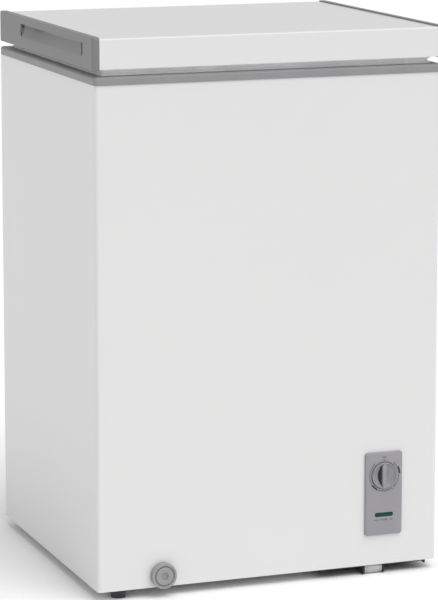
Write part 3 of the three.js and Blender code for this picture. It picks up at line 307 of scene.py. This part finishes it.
dress(white_enamel, "back_panel")
panel_low, panel_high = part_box("back_panel")
bay_low, bay_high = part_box("rear_grille")
back_screws = bmesh.new()
side_inset = 0.007
end_inset = 0.02
gaps = 5
for row in range(gaps + 1):
    height = panel_low.z + end_inset + row * (panel_high.z - panel_low.z - 2 * end_inset) / gaps
    for x in (panel_low.x + side_inset, panel_high.x - side_inset):
        if x < bay_low.x or height > bay_high.z + 0.01:
            screw(back_screws, (x, panel_high.y, height), (0, 1, 0))
for column in range(1, gaps):
    x = panel_low.x + column * (panel_high.x - panel_low.x) / gaps
    screw(back_screws, (x, panel_high.y, panel_high.z - 0.006), (0, 1, 0))


def bare_steel(name, colour, shine, spangle=110.0):
    """Zinc on steel: large crystals that differ a little in tone and in shine."""
    finish = Finish(name, Metallic=0.9)
    crystal = finish.node("ShaderNodeTexVoronoi", None,
                          {"Vector": finish.place, "Scale": spangle}, output="Color")
    grey = finish.node("ShaderNodeSeparateColor", None, {"Color": crystal})
    dark = tuple(part * 0.78 for part in colour) + (1,)
    tone = finish.blend(grey, dark, tuple(colour) + (1,))
    scratch = finish.noise(1400, 2.0)
    return finish.show(tone, grey * 0.12 + scratch * 0.08 + shine, scratch, 0.00003, 0.4)


zinc = bare_steel("zinc_plate", (0.60, 0.61, 0.62), 0.28)
piece("back_panel_screws", back_screws, zinc, "cabinet", "galvanised_steel")


# Bottom pan, bay panel and base plate: folded sheets under the cabinet. The pan is enamelled,
# the plate that carries the compressor and the rollers is black.
dress(white_enamel, "bottom_pan")


def moulded(name, colour, shine, grain=900.0, depth=0.00005):
    """A moulded plastic or paint: slight unevenness of tone and the fine grain of its tool."""
    finish = Finish(name, Specular_IOR_Level=0.45)
    cloud = finish.noise(24, 3.0)
    deep = tuple(part * 0.86 for part in colour) + (1,)
    tone = finish.blend(cloud, deep, tuple(min(1, part * 1.06) for part in colour) + (1,))
    grit = finish.noise(grain, 3.0, 0.6)
    return finish.show(tone, cloud * 0.12 + shine, grit, depth, 0.5)


black_paint = moulded("black_paint", (0.018, 0.018, 0.02), 0.42, 1300)
dress(zinc, "bay_panel")
dress(black_paint, "base_plate")


# Base bolts: two flanged hexagon heads under the front of the base plate, zinc plated. Their
# threads go up through the plate and the pan.
for node in ("base_bolt_left", "base_bolt_right"):
    low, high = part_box(node)
    middle = (low + high) / 2
    across = (high.y - low.y) / 2
    bolt = bmesh.new()
    bmesh.ops.create_cone(bolt, cap_ends=True, segments=6, radius1=across, radius2=across,
                          depth=0.0024)
    bmesh.ops.translate(bolt, vec=(0, 0, 0.0012), verts=bolt.verts)
    soften(bolt, edges_where(bolt, lambda middle, way: middle.z < 0.0001), 0.0006, 3)
    turn(bolt, [(across * 0.85, 0.0022), (across, 0.0024), (across, 0.003), (0.003, 0.003),
                (0.003, 0.0146), (0.0022, 0.015), (0, 0.015)], (0, 0, 0), (0, 0, 1), 24)
    bmesh.ops.translate(bolt, vec=(middle.x, middle.y, low.z), verts=bolt.verts)
    piece(node + "_screw", bolt, zinc, "cabinet", "galvanised_steel", node)


# Rollers: two solid nylon drums, each on a steel pin between the cheeks of a folded bracket
# that is welded under the base plate. Shallow grooves run round a drum near its ends.
def nylon(name, colour):
    """Milky nylon, slightly waxy, with lathe marks round it too fine to feel."""
    finish = Finish(name, Specular_IOR_Level=0.4)
    dirt = finish.noise(60, 4.0)
    tone = finish.blend(dirt, tuple(part * 0.82 for part in colour) + (1,), tuple(colour) + (1,))
    return finish.show(tone, dirt * 0.15 + 0.38, finish.noise(700, 2.0), 0.00004, 0.4)


roller_nylon = nylon("roller_nylon", (0.50, 0.50, 0.50))
bright_pin = bare_steel("bright_pin", (0.55, 0.55, 0.56), 0.22, 300)
for place in ("front", "rear"):
    low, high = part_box("roller_" + place)
    middle = (low + high) / 2
    radius = (high.z - low.z) / 2
    half = (high.x - low.x) / 2
    grooves = []
    for share in (-0.8, -0.66, 0.66, 0.8):
        grooves += [(radius, half * share - 0.0007), (radius - 0.0006, half * share - 0.0004),
                    (radius - 0.0006, half * share + 0.0004), (radius, half * share + 0.0007)]
    drum = bmesh.new()
    turn(drum, [(0.0024, -half), (radius * 0.8, -half), (radius - 0.0006, -half + 0.0002),
                (radius, -half + 0.0008)] + grooves + [(radius, half - 0.0008),
                (radius - 0.0006, half - 0.0002), (radius * 0.8, half), (0.0024, half), (0.0024, -half)],
         middle, (1, 0, 0), 64)
    piece("roller_drum_" + place, drum, roller_nylon, place + "_roller", "roller_nylon",
          "roller_" + place)
    dress(black_paint, "roller_bracket_" + place)
    dress(bright_pin, "roller_pin_" + place)


# Levelling feet: ribbed dark plastic discs on threaded studs, on the side away from the
# rollers. They are turned by hand to set the cabinet level.
dark_plastic = moulded("dark_plastic", (0.055, 0.057, 0.062), 0.46)
for place in ("front", "rear"):
    low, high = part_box("foot_" + place)
    middle = (low + high) / 2
    radius = (high.x - low.x) / 2
    rise = 0.0145
    facets = 160
    rib_depths = (0, 0.0004, 0.0009, 0.0004)
    foot = bmesh.new()
    bmesh.ops.create_cone(foot, cap_ends=True, segments=facets, radius1=radius * 0.88,
                          radius2=radius - 0.0003, depth=rise)
    bmesh.ops.translate(foot, vec=(0, 0, rise / 2), verts=foot.verts)
    for height in (0.0015, rise - 0.002):
        bmesh.ops.bisect_plane(foot, geom=foot.verts[:] + foot.edges[:] + foot.faces[:],
                               plane_co=(0, 0, height), plane_no=(0, 0, 1))
    for vert in foot.verts:
        if 0.001 < vert.co.z < rise - 0.001:
            step = round(math.atan2(vert.co.y, vert.co.x) * facets / math.tau) % len(rib_depths)
            inward = rib_depths[step] / vert.co.xy.length
            vert.co.x *= 1 - inward
            vert.co.y *= 1 - inward
    stud, pitch = 0.004, 0.0006
    turn(foot, [(radius * 0.55, rise - 0.0002), (radius * 0.45, rise + 0.0016),
                (stud, rise + 0.0016)], (0, 0, 0), (0, 0, 1), 32)
    thread = [(stud - 0.0004 * (turns % 2), rise + 0.001 + turns * pitch)
              for turns in range(int((high.z - rise - 0.002) / pitch))]
    turn(foot, thread + [(0.003, high.z - 0.0002), (0, high.z)], (0, 0, 0), (0, 0, 1), 20)
    bmesh.ops.translate(foot, vec=(middle.x, middle.y, low.z), verts=foot.verts)
    piece("levelling_foot_" + place, foot, dark_plastic, place + "_foot", "dark_plastic",
          "foot_" + place)


# Cooling system: a hermetic compressor on rubber grommets in the bay, with copper pipes to the
# coils that are foamed in behind the wrap and round the tub.
copper = bare_steel("copper_pipe", (0.62, 0.30, 0.18), 0.3, 60)
rubber = moulded("black_rubber", (0.02, 0.02, 0.02), 0.62, 600)
shell_black = moulded("compressor_black", (0.012, 0.012, 0.013), 0.26, 500)
dress(shell_black, "compressor")
dress(rubber, *["compressor_grommet_%d" % place for place in (1, 2, 3, 4)])
dress(dark_plastic, "terminal_cover")
dress(copper, "suction_line", "evaporator_coil", "discharge_line", "filter_drier", "capillary_tube")
dress(black_paint, "condenser_coil")


# Polyurethane foam, poured between the wrap and the tub and into the lid. It sticks the
# sheets together and is seen only where a sheet is taken off.
foam = Finish("yellow_foam")
cells = foam.node("ShaderNodeTexVoronoi", None, {"Vector": foam.place, "Scale": 900},
                  output="Distance")
cream = foam.blend(foam.noise(30, 4.0), (0.62, 0.50, 0.27, 1), (0.78, 0.68, 0.42, 1))
dress(foam.show(cream, cells * 0.1 + 0.82, cells, 0.0006, 0.8), "foam_insulation", "lid_foam")


# Tub: the inner liner with its step over the machine bay and the ledge round its mouth, drawn
# from aluminium sheet with a fine stucco emboss, and coated white.
def stucco(name, colour):
    """Embossed sheet: small raised cells that overlap like orange peel, under a thin coat."""
    finish = Finish(name, Metallic=0.25)
    near = finish.node("ShaderNodeTexVoronoi", {"feature": "SMOOTH_F1"},
                       {"Vector": finish.place, "Scale": 260, "Smoothness": 0.6}, output="Distance")
    cloud = finish.noise(8, 3.0)
    # The tone is darker where the emboss is lowest: painted shade in its hollows.
    tone = finish.blend(near, tuple(part * 0.9 for part in colour) + (1,), tuple(colour) + (1,))
    return finish.show(tone, cloud * 0.1 + 0.34, near, 0.0004, 0.6)


dress(stucco("tub_stucco", (0.80, 0.81, 0.81)), "tub")
grey_rubber = moulded("grey_rubber", (0.30, 0.31, 0.32), 0.6, 700)
dress(grey_rubber, "drain_plug")


# Defrost drain: a sleeve through the front wall, a spout that is drawn out to empty the tub,
# and a stepped grey cap that is turned to open it. Behind the sleeve a hose goes up to the tub.
grey_plastic = moulded("grey_plastic", (0.32, 0.32, 0.325), 0.42, 1200)
cap_low, cap_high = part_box("drain_dial")
cap_middle = (cap_low + cap_high) / 2
cap_radius = (cap_high.x - cap_low.x) / 2
cap_face = cap_high.y - cap_low.y
drain_cap = bmesh.new()
turn(drain_cap, [(cap_radius - 0.0025, 0), (cap_radius - 0.0006, 0), (cap_radius, 0.0006),
                 (cap_radius, cap_face - 0.0016), (cap_radius - 0.0008, cap_face - 0.0003),
                 (cap_radius - 0.0016, cap_face - 0.0003), (cap_radius * 0.82, cap_face - 0.0006),
                 (cap_radius * 0.76, cap_face - 0.0026), (cap_radius * 0.72, cap_face - 0.0026),
                 (cap_radius * 0.69, cap_face - 0.0004), (cap_radius * 0.66, cap_face),
                 (cap_radius * 0.34, cap_face), (cap_radius * 0.3, cap_face - 0.0004),
                 (cap_radius * 0.25, cap_face - 0.0034), (0, cap_face - 0.0038)],
     (cap_middle.x, cap_high.y, cap_middle.z), (0, -1, 0), 72)
turn(drain_cap, [(cap_radius - 0.0025, 0), (cap_radius - 0.0025, cap_face - 0.0052),
                 (0.0105, cap_face - 0.0052)],
     (cap_middle.x, cap_high.y, cap_middle.z), (0, -1, 0), 72)
piece("drain_cap_rings", drain_cap, grey_plastic, "drain_cap", "grey_plastic", "drain_dial")
dress(grey_plastic, "drain_spout", "drain_sleeve")
dress(rubber, "drain_hose")


# Top collar: a grey moulded frame that is clipped over the cabinet's upper edge. It covers the
# foam between the wrap and the tub, and the lid's gasket closes on its flat upper face.
collar_grey = moulded("collar_grey", (0.285, 0.285, 0.295), 0.38, 1500)
collar_low, collar_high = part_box("top_collar")
tub_low, tub_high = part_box("tub")
collar = bmesh.new()
loops = []
for out, height in ((0, 0), (0, 0.0095), (0.0007, 0.0108), (0.0023, 0.0124), (0.0035, 0.0127)):
    loops.append(outline(collar, (collar_low.x + out, collar_low.y + out),
                         (collar_high.x - out, collar_high.y - out), 0.006 - out,
                         collar_low.z + height))
mouth_radius = 0.036
lip = 0.0105
for out, height in ((0.0117, 0.0127), (0.0107, 0.0121), (lip, 0.0115), (lip, 0)):
    loops.append(outline(collar, (tub_low.x + out, tub_low.y + out),
                         (tub_high.x - out, tub_high.y - out), mouth_radius + lip - out,
                         collar_low.z + height))
wall(collar, loops, joined=True)
bmesh.ops.recalc_face_normals(collar, faces=collar.faces)
piece("collar_frame", collar, collar_grey, "cabinet", "grey_plastic", "top_collar")


# Thermostat and its sensor: a small control box behind the front steel, on a bush that passes
# through it. A capillary tube goes from it to the bulb beside the evaporator.
dress(dark_plastic, "thermostat_body")
dress(copper, "thermostat_sensor")
white_plastic = moulded("white_plastic", (0.66, 0.66, 0.65), 0.4, 1400)
dress(white_plastic, "thermostat_shaft", "indicator_lamp")


# Control fascia: a grey moulded panel with a bevelled edge, clipped to the front. The knob sits
# in its round opening and the lamp's window is below it; the scale is pad printed in black.
fascia_grey = moulded("fascia_grey", (0.315, 0.305, 0.33), 0.36, 1700, 0.00004)
fascia_low, fascia_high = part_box("control_fascia")
knob_low, knob_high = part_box("thermostat_knob")
lens_low, lens_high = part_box("indicator_lens")
knob_middle = (knob_low + knob_high) / 2
knob_gap = 0.0006
lens_radius = 0.003
fascia = bmesh.new()
loops = []
for out, rise in ((0, 0), (0, 0.0026), (0.0006, 0.0039), (0.0021, 0.0047)):
    loops.append(outline(fascia, (fascia_low.x + out, fascia_low.z + out),
                         (fascia_high.x - out, fascia_high.z - out), 0.004 - out * 0.5,
                         rise - fascia_high.y, front_facing))
wall(fascia, loops)
round_gap = (knob_high.x - knob_low.x) / 2 + knob_gap
rims = []
for out, rise in ((0, 0), (0, 0.0041), (0.0004, 0.0046), (0.0009, 0.0047)):
    rims.append(outline(fascia, (knob_middle.x - round_gap - out, knob_middle.z - round_gap - out),
                        (knob_middle.x + round_gap + out, knob_middle.z + round_gap + out),
                        (round_gap + out) * 0.9999, rise - fascia_high.y, front_facing, 16))
windows = []
for out, rise in ((0.0002, 0), (0.0002, 0.0044), (0.0005, 0.0047)):
    windows.append(outline(fascia, (lens_low.x - out, lens_low.z - out),
                           (lens_high.x + out, lens_high.z + out), lens_radius + out * 0.99,
                           rise - fascia_high.y, front_facing))
wall(fascia, rims)
wall(fascia, windows)
flat_fill(fascia, [loops[-1], rims[-1], windows[-1]], (0, -1, 0))
flat_fill(fascia, [loops[0], rims[0], windows[0]], (0, 1, 0))
bmesh.ops.recalc_face_normals(fascia, faces=fascia.faces)
piece("fascia_panel", fascia, fascia_grey, "cabinet", "fascia_plastic", "control_fascia")


def printed_word(mesh, words, x, z, height):
    """Flat raised lettering of pad print, centred on a point of the fascia."""
    letters = bpy.data.curves.new("lettering", "FONT")
    letters.body = words
    letters.size = height
    letters.align_x = "CENTER"
    letters.align_y = "CENTER"
    letters.extrude = 0.00003
    letters.resolution_u = 3
    holder = bpy.data.objects.new("lettering", letters)
    flat = bpy.data.meshes.new_from_object(holder)
    flat.transform(Matrix.Translation((x, fascia_low.y - 0.00003, z)) @ front_facing)
    mesh.from_mesh(flat)
    bpy.data.objects.remove(holder)
    bpy.data.curves.remove(letters)
    bpy.data.meshes.remove(flat)


def printed_arc(mesh, radius, width, start, end):
    """A printed band round the knob. Angles are in degrees, clockwise from the top."""
    bar = box_of(mesh, (-width / 2, -0.00004, -0.0001), (width / 2, 0, 0.0001))
    place = Matrix.Translation((knob_middle.x, fascia_low.y, knob_middle.z))
    tilt = Matrix.Rotation(math.radians(start), 4, "Y") @ Matrix.Translation((0, 0, radius))
    bmesh.ops.transform(mesh, matrix=place @ tilt @ Matrix.Rotation(math.pi / 2, 4, "Y"), verts=bar)
    face = max({face for vert in bar for face in vert.link_faces},
               key=lambda face: face.normal.dot(Vector((math.cos(math.radians(start)), 0,
                                                        -math.sin(math.radians(start))))))
    bmesh.ops.spin(mesh, geom=[face], cent=place.translation, axis=(0, 1, 0), dvec=(0, 0, 0),
                   angle=math.radians(end - start), steps=max(2, int(abs(end - start) / 5)))


# One black serves both the printed scale and the painted shade in the knob's hollows.
black_ink_and_painted_shade = moulded("black_ink_and_painted_shade", (0.012, 0.012, 0.014), 0.5, 2500)
scale_print = bmesh.new()
band = round_gap + 0.0032
for start, end, width in ((-42, -120, 0.0007), (-125, -150, 0.0022), (-154, -212, 0.0007),
                          (137, 42, 0.0007)):
    printed_arc(scale_print, band, width, start, end)
printed_arc(scale_print, band + 0.0016, 0.0022, 62, 86)
for angle in (-42, -212, 137, 42, -125, -150):
    printed_arc(scale_print, band + 0.0007, 0.0022, angle - 0.9, angle + 0.9)
printed_arc(scale_print, band - 0.0002, 0.0014, -2, 2)
printed_word(scale_print, "OFF", knob_middle.x, knob_middle.z + band + 0.0042, 0.0040)
for place, words in ((-0.0122, "RUN"), (0, "POWER"), (0.0122, "SET")):
    printed_word(scale_print, words, knob_middle.x + place, lens_low.z - 0.0052, 0.0034)
piece("fascia_print", scale_print, black_ink_and_painted_shade, "cabinet", "dark_plastic")


# Power lamp: a green acrylic window with rounded ends, pressed into the fascia over the neon.
lamp_green = Finish("lamp_green", Specular_IOR_Level=0.25, Coat_Weight=0.1, Coat_Roughness=0.06)
glow_reach = 0.02
glow_place = lamp_green.node("ShaderNodeMapping", {"vector_type": "POINT"}, {
    "Vector": lamp_green.place,
    "Location": (-knob_middle.x / glow_reach, -lens_low.y / glow_reach,
                 -(lens_low.z + lens_radius) / glow_reach),
    "Scale": (1 / glow_reach, 1 / glow_reach, 1 / glow_reach)})
# Painted glow: the window's colour is lighter towards its middle, as if lit by the neon behind it.
glow = lamp_green.node("ShaderNodeTexGradient", {"gradient_type": "SPHERICAL"},
                       {"Vector": glow_place})
ribs = lamp_green.noise(900, 1.0)
green = lamp_green.blend(glow, (0.0015, 0.028, 0.018, 1), (0.003, 0.055, 0.036, 1))
lamp_green.show(green, ribs * 0.05 + 0.16, ribs, 0.00003, 0.3)
lamp = bmesh.new()
loops = []
for out, rise in ((0, 0), (0, 0.0042), (0.0003, 0.0046), (0.0012, 0.0048)):
    loops.append(outline(lamp, (lens_low.x + out, lens_low.z + out),
                         (lens_high.x - out, lens_high.z - out), (lens_radius - out) * 0.999,
                         rise - lens_high.y, front_facing))
wall(lamp, loops)
flat_fill(lamp, [loops[-1]], (0, -1, 0))
flat_fill(lamp, [loops[0]], (0, 1, 0))
bmesh.ops.recalc_face_normals(lamp, faces=lamp.faces)
piece("lamp_window", lamp, lamp_green.material, "cabinet", "lamp_lens", "indicator_lens")


# Thermostat knob: a grey moulded disc with a raised rim and a bar across it, between two
# hollows for finger and thumb. It is pushed on the thermostat's shaft.
def slab(mesh):
    """A unit block cut across its height into 16 slices, as the verts of its two sides."""
    box_of(mesh, (-0.5, -0.5, -0.5), (0.5, 0.5, 0.5))
    upright = edges_where(mesh, lambda middle, way: abs(way.z) > 0.9 and abs(middle.x) == 0.5)
    bmesh.ops.subdivide_edges(mesh, edges=upright, cuts=15, use_grid_fill=True)
    return [vert for vert in mesh.verts if abs(abs(vert.co.x) - 0.5) < 1e-6]


knob_grey = moulded("knob_grey", (0.30, 0.295, 0.31), 0.3, 1400, 0.00004)
knob_radius = (knob_high.x - knob_low.x) / 2
knob_face = knob_high.y - knob_low.y
knob = bmesh.new()
turn(knob, [(0, 0), (knob_radius - 0.0006, 0), (knob_radius - 0.0002, 0.0004),
            (knob_radius - 0.0002, knob_face - 0.0008), (knob_radius - 0.0006, knob_face - 0.0002),
            (knob_radius - 0.0011, knob_face), (knob_radius - 0.0018, knob_face - 0.0003),
            (knob_radius - 0.0022, knob_face - 0.0012), (knob_radius * 0.8, knob_face - 0.0030),
            (knob_radius * 0.55, knob_face - 0.0046), (knob_radius * 0.3, knob_face - 0.0054),
            (0, knob_face - 0.0056)], (knob_middle.x, knob_high.y, knob_middle.z), (0, -1, 0), 96)
bar_half = 0.0033
round_from = 0.87
for vert in slab(knob):
    share = vert.co.z * 2
    reach = (knob_radius - 0.0015) * share
    forward = vert.co.y < 0
    half = bar_half if forward else 0.0046 + 0.0006 * (1 - share * share)
    if abs(share) > round_from:
        half *= math.sqrt(max(0, 1 - ((abs(share) - round_from) / 0.14) ** 2)) * 0.8 + 0.2
    vert.co = (knob_middle.x + math.copysign(half, vert.co.x),
               knob_low.y + 0.0001 if forward else knob_high.y - 0.001, knob_middle.z + reach)
soften(knob, edges_where(knob, lambda middle, way: middle.y < knob_low.y + 0.0002
                         and abs(abs(middle.x - knob_middle.x) - bar_half) < 0.0012
                         and abs(way.z) > 0.6), 0.0006, 2)
piece("knob_grip", knob, knob_grey, "knob", "fascia_plastic", "thermostat_knob")

# Painted shade: a black lens-shaped sheet sunk in each hollow beside the bar, wider on the left than on
# the right. It turns with the knob.
painted_hollow_shade = bmesh.new()
for side in (-1, 1):
    for vert in slab(painted_hollow_shade):
        share = vert.co.z * 2
        wide = (0.0064 if side < 0 else 0.0014) * max(0.02, 1 - share * share)
        vert.co = (knob_middle.x + side * (0.0031 + wide * (vert.co.x + 0.5)),
                   knob_low.y + (0.0029 if vert.co.y < 0 else 0.0060),
                   knob_middle.z + knob_radius * 0.84 * share)
bmesh.ops.recalc_face_normals(painted_hollow_shade, faces=painted_hollow_shade.faces)
piece("knob_painted_hollow_shade", painted_hollow_shade, black_ink_and_painted_shade, "knob", "dark_plastic")


# Lid skin: a shallow tray of white enamelled steel, turned upside down. It is folded down at
# the front and the back and filled with foam.
skin_low, skin_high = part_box("lid_skin")
skin = bmesh.new()
box_of(skin, skin_low, skin_high)
drop_faces(skin, lambda normal: normal.z < -0.9)
skin_bend = 0.003
bend_from = skin_high.z - skin_bend
long_edges = edges_where(skin, lambda middle, way: abs(way.x) > 0.9 and middle.z > bend_from)
soften(skin, long_edges, skin_bend, 6)
end_edges = edges_where(skin, lambda middle, way: abs(way.y) > 0.9 and middle.z > bend_from)
soften(skin, end_edges, 0.0008, 2)
bmesh.ops.solidify(skin, geom=skin.faces, thickness=0.001)
piece("lid_tray", skin, white_enamel, "lid", "white_steel", "lid_skin")


# Lid caps: two grey mouldings over the ends of the lid. Each has a long scooped grip on its
# outer face, deepest towards the rear under a straight upper edge.
def face_at(mesh, point):
    """Of the faces level with a point in X, the one whose middle is nearest to it."""
    level = [face for face in mesh.faces if abs(face.calc_center_median().x - point.x) < 1e-6]
    return min(level, key=lambda face: (face.calc_center_bounds() - point).length)


cap_grey = moulded("cap_grey", (0.215, 0.215, 0.22), 0.36, 1500)
right_facing = Matrix(((0, 0, 1, 0), (1, 0, 0, 0), (0, 1, 0, 0), (0, 0, 0, 1)))
grip_front, grip_rear = 0.0465, 0.3595
grip_under, grip_over = 0.0165, 0.0372
grip_depth = 0.0072
grip_slices = 32
for side, node in ((1, "lid_cap_right"), (-1, "lid_cap_left")):
    low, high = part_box(node)
    depth = high.x - low.x
    reach = max(abs(low.x), abs(high.x))
    cap = bmesh.new()
    loops = []
    for out, rise in ((0, 0), (0, depth - 0.0034), (0.0005, depth - 0.0018), (0.0016, depth - 0.0006),
                      (0.0031, depth)):
        drop = out * 0.4
        loops.append(outline(cap, (low.y + out, low.z + drop), (high.y - out, high.z - drop),
                             0.0035 - out * 0.6, reach - depth + rise, right_facing))
    wall(cap, loops)
    flat_fill(cap, [loops[0]], (-1, 0, 0))
    bmesh.ops.contextual_create(cap, geom=loops[-1])
    front, rear = low.y + grip_front, low.y + grip_rear
    under, over = low.z + grip_under, low.z + grip_over
    grip = Vector((reach, (front + rear) / 2, (under + over) / 2))
    for place, way in (((0, front, 0), (0, 1, 0)), ((0, rear, 0), (0, 1, 0)),
                       ((0, 0, under), (0, 0, 1)), ((0, 0, over), (0, 0, 1))):
        face = face_at(cap, grip)
        bmesh.ops.bisect_plane(cap, geom=[face] + list(face.edges) + list(face.verts),
                               plane_co=place, plane_no=way)
    bmesh.ops.bevel(cap, geom=list(face_at(cap, grip).verts), offset=0.003, offset_type="OFFSET",
                    profile=0.5, segments=6, affect="VERTICES", material=-1)
    for step in (0.0003, 0.0009, 0.0014, 0.0018, 0.002, 0.002):
        bmesh.ops.inset_individual(cap, faces=[face_at(cap, grip)], thickness=step)
    for cut in range(1, grip_slices):
        bmesh.ops.bisect_plane(cap, geom=cap.verts[:] + cap.edges[:] + cap.faces[:],
                               plane_co=(0, front + (rear - front) * cut / grip_slices, 0),
                               plane_no=(0, 1, 0))
    for vert in cap.verts:
        edge = min(vert.co.y - front, rear - vert.co.y, vert.co.z - under, over - vert.co.z)
        if vert.co.x > reach - 1e-6 and edge > 0.0001:
            along = (vert.co.y - front) / (rear - front)
            across = (vert.co.z - under) / (over - under)
            bowl = 0.4 + 0.6 * math.exp(-((along - 0.74) / 0.2) ** 2)
            vert.co.x -= grip_depth * bowl * min(1, across * 1.15) ** 1.3 * min(1, edge / 0.0004)
    bmesh.ops.scale(cap, vec=(side, 1, 1), verts=cap.verts)
    bmesh.ops.recalc_face_normals(cap, faces=cap.faces)
    piece(node + "_moulding", cap, cap_grey, "lid", "grey_plastic", node)


# Lid liner and gasket: a white moulded liner closes the lid from below, and a grey magnetic
# gasket with a folded bellows is pushed into the groove round it.
dress(white_plastic, "lid_liner")
seal_grey = moulded("seal_grey", (0.84, 0.84, 0.85), 0.5, 900)
seal_low, seal_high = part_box("lid_gasket")
tall = seal_high.z - seal_low.z
seal = bmesh.new()
loops = []
for out, height in ((0, 0), (0, 0.0008), (0.0012, 0.0022), (0.0034, 0.0034), (0.0042, 0.0050),
                    (0.0032, 0.0064), (0.0008, 0.0078), (0, 0.0088), (0, tall),
                    (0.024, tall), (0.024, 0.0088), (0.0206, 0.0056), (0.024, 0.0022), (0.024, 0)):
    loops.append(outline(seal, (seal_low.x + out, seal_low.y + out),
                         (seal_high.x - out, seal_high.y - out), 0.006 if out < 0.01 else 0.004,
                         seal_low.z + height))
wall(seal, loops, joined=True)
bmesh.ops.recalc_face_normals(seal, faces=seal.faces)
piece("gasket_bellows", seal, seal_grey, "lid", "gasket_rubber", "lid_gasket")


# Hinges: pressed zinc plates with a pin and a coil spring on each side. The lower leaf is
# screwed to the cabinet's back, the upper one to the back of the lid.
for hand in ("left", "right"):
    dress(zinc, "hinge_base_" + hand, "hinge_arm_" + hand)
    dress(bright_pin, "hinge_pin_" + hand, "hinge_spring_" + hand)
base_screws = bmesh.new()
arm_screws = bmesh.new()
leaf = 0.0025
for hand in ("left", "right"):
    low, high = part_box("hinge_base_" + hand)
    for x, height in ((-0.011, 0.01), (0.011, 0.01), (0, 0.035), (-0.011, 0.062), (0.011, 0.062)):
        screw(base_screws, ((low.x + high.x) / 2 + x, low.y + leaf, low.z + height), (0, 1, 0),
              0.0042)
    low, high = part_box("hinge_arm_" + hand)
    for x, height in ((-0.009, 0.008), (0.009, 0.008), (0, 0.022)):
        screw(arm_screws, ((low.x + high.x) / 2 + x, low.y + leaf, high.z - height), (0, 1, 0))
piece("hinge_base_screws", base_screws, zinc, "cabinet", "galvanised_steel")
piece("hinge_arm_screws", arm_screws, zinc, "lid", "galvanised_steel")


# Basket: welded steel wire, dipped in white plastic. Crossed U-shaped wires make its floor and
# walls; thicker loops at its two ends hook over the tub's ledge, and it slides along them.
def wire(mesh, start, runs, radius, bend=0.008):
    """Carries a round section along straight runs, with an arc at each change of direction."""
    way = Vector(runs[0][0])
    place = Vector(start)
    ring = bmesh.ops.create_circle(mesh, cap_ends=True, segments=8, radius=radius)["verts"]
    stand = way.to_track_quat("Z", "X").to_matrix().to_4x4()
    bmesh.ops.transform(mesh, matrix=Matrix.Translation(place) @ stand, verts=ring)
    edges = list(ring[0].link_faces[0].edges)
    for index, (towards, length) in enumerate(runs):
        towards = Vector(towards)
        last = index == len(runs) - 1
        straight = length - (bend if index else 0) - (0 if last else bend)
        made = bmesh.ops.extrude_edge_only(mesh, edges=edges)["geom"]
        bmesh.ops.translate(mesh, vec=towards * straight,
                            verts=[part for part in made if isinstance(part, bmesh.types.BMVert)])
        edges = [part for part in made if isinstance(part, bmesh.types.BMEdge)
                 and len(part.link_faces) == 1]
        place += towards * straight
        if not last:
            turned = Vector(runs[index + 1][0])
            axis = towards.cross(turned)
            made = bmesh.ops.spin(mesh, geom=edges, cent=place + turned * bend, axis=axis,
                                  dvec=(0, 0, 0), angle=math.pi / 2, steps=4)["geom_last"]
            edges = [part for part in made if isinstance(part, bmesh.types.BMEdge)]
            place += (towards + turned) * bend
    bmesh.ops.contextual_create(mesh, geom=edges)


coated_wire = moulded("coated_wire", (0.72, 0.72, 0.71), 0.32, 1100)
hook_low, hook_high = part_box("basket")
thin, thick = 0.0015, 0.0022
hook_reach, hook_gap = 0.0135, 0.001
wall_front = hook_low.y + hook_reach + hook_gap
wall_rear = hook_high.y - hook_reach - hook_gap
rim_top = hook_high.z - 0.0045
basket = bmesh.new()
down, up = (0, 0, -1), (0, 0, 1)
cross_wires = 11
for place in range(cross_wires):
    x = hook_low.x + 0.012 + place * (hook_high.x - hook_low.x - 0.024) / (cross_wires - 1)
    wire(basket, (x, wall_front + thin, rim_top - thick),
         ((down, rim_top - thick - hook_low.z - thin),
          ((0, 1, 0), wall_rear - wall_front - 2 * thin),
          (up, rim_top - thick - hook_low.z - thin)), thin)
long_wires = 17
inner_low, inner_high = hook_low.x + 3.2 * thin, hook_high.x - 3.2 * thin
for place in range(long_wires):
    y = wall_front + 0.014 + place * (wall_rear - wall_front - 0.028) / (long_wires - 1)
    wire(basket, (inner_low, y, rim_top - thick),
         ((down, rim_top - thick - hook_low.z - 3 * thin), ((1, 0, 0), inner_high - inner_low),
          (up, rim_top - thick - hook_low.z - 3 * thin)), thin)
for height, radius, grow in ((rim_top - thick, thick, 0.0), (hook_low.z + 0.115, thin, 0.0),
                             (hook_low.z + 0.06, thin, 0.0)):
    left, right = hook_low.x + radius, hook_high.x - radius
    front_y, rear_y = wall_front - radius, wall_rear + radius
    middle_x = (left + right) / 2
    wire(basket, (middle_x, front_y, height),
         (((1, 0, 0), right - middle_x), ((0, 1, 0), rear_y - front_y), ((-1, 0, 0), right - left),
          ((0, -1, 0), rear_y - front_y), ((1, 0, 0), middle_x - left)), radius, 0.014)
for end, y in ((-1, hook_low.y + thick), (1, hook_high.y - thick)):
    inside = wall_front - thick if end < 0 else wall_rear + thick
    left, right = hook_low.x + 0.030 + thick, hook_high.x - 0.030 - thick
    top = hook_high.z - thick
    wire(basket, (left, inside, rim_top - 0.03),
         ((up, top - rim_top + 0.03), ((0, end, 0), abs(y - inside)), ((1, 0, 0), right - left),
          ((0, -end, 0), abs(y - inside)), (down, top - rim_top + 0.03)), thick, 0.0048)
bmesh.ops.recalc_face_normals(basket, faces=basket.faces)
piece("basket_wires", basket, coated_wire, "hanging_basket", "coated_wire", "basket")


# Rear grille and mains inlet: a slotted steel sheet is screwed over the machine bay, and the
# appliance inlet is pressed through its lower corner.
dress(zinc, "rear_grille")
dress(dark_plastic, "mains_inlet")
grille_low, grille_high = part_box("rear_grille")
grille_screws = bmesh.new()
for x in (grille_low.x + side_inset, (grille_low.x + grille_high.x) / 2,
          grille_high.x - side_inset):
    for z in (grille_low.z + side_inset, grille_high.z - side_inset):
        screw(grille_screws, (x, grille_high.y, z), (0, 1, 0))
piece("grille_screws", grille_screws, zinc, "cabinet", "galvanised_steel")
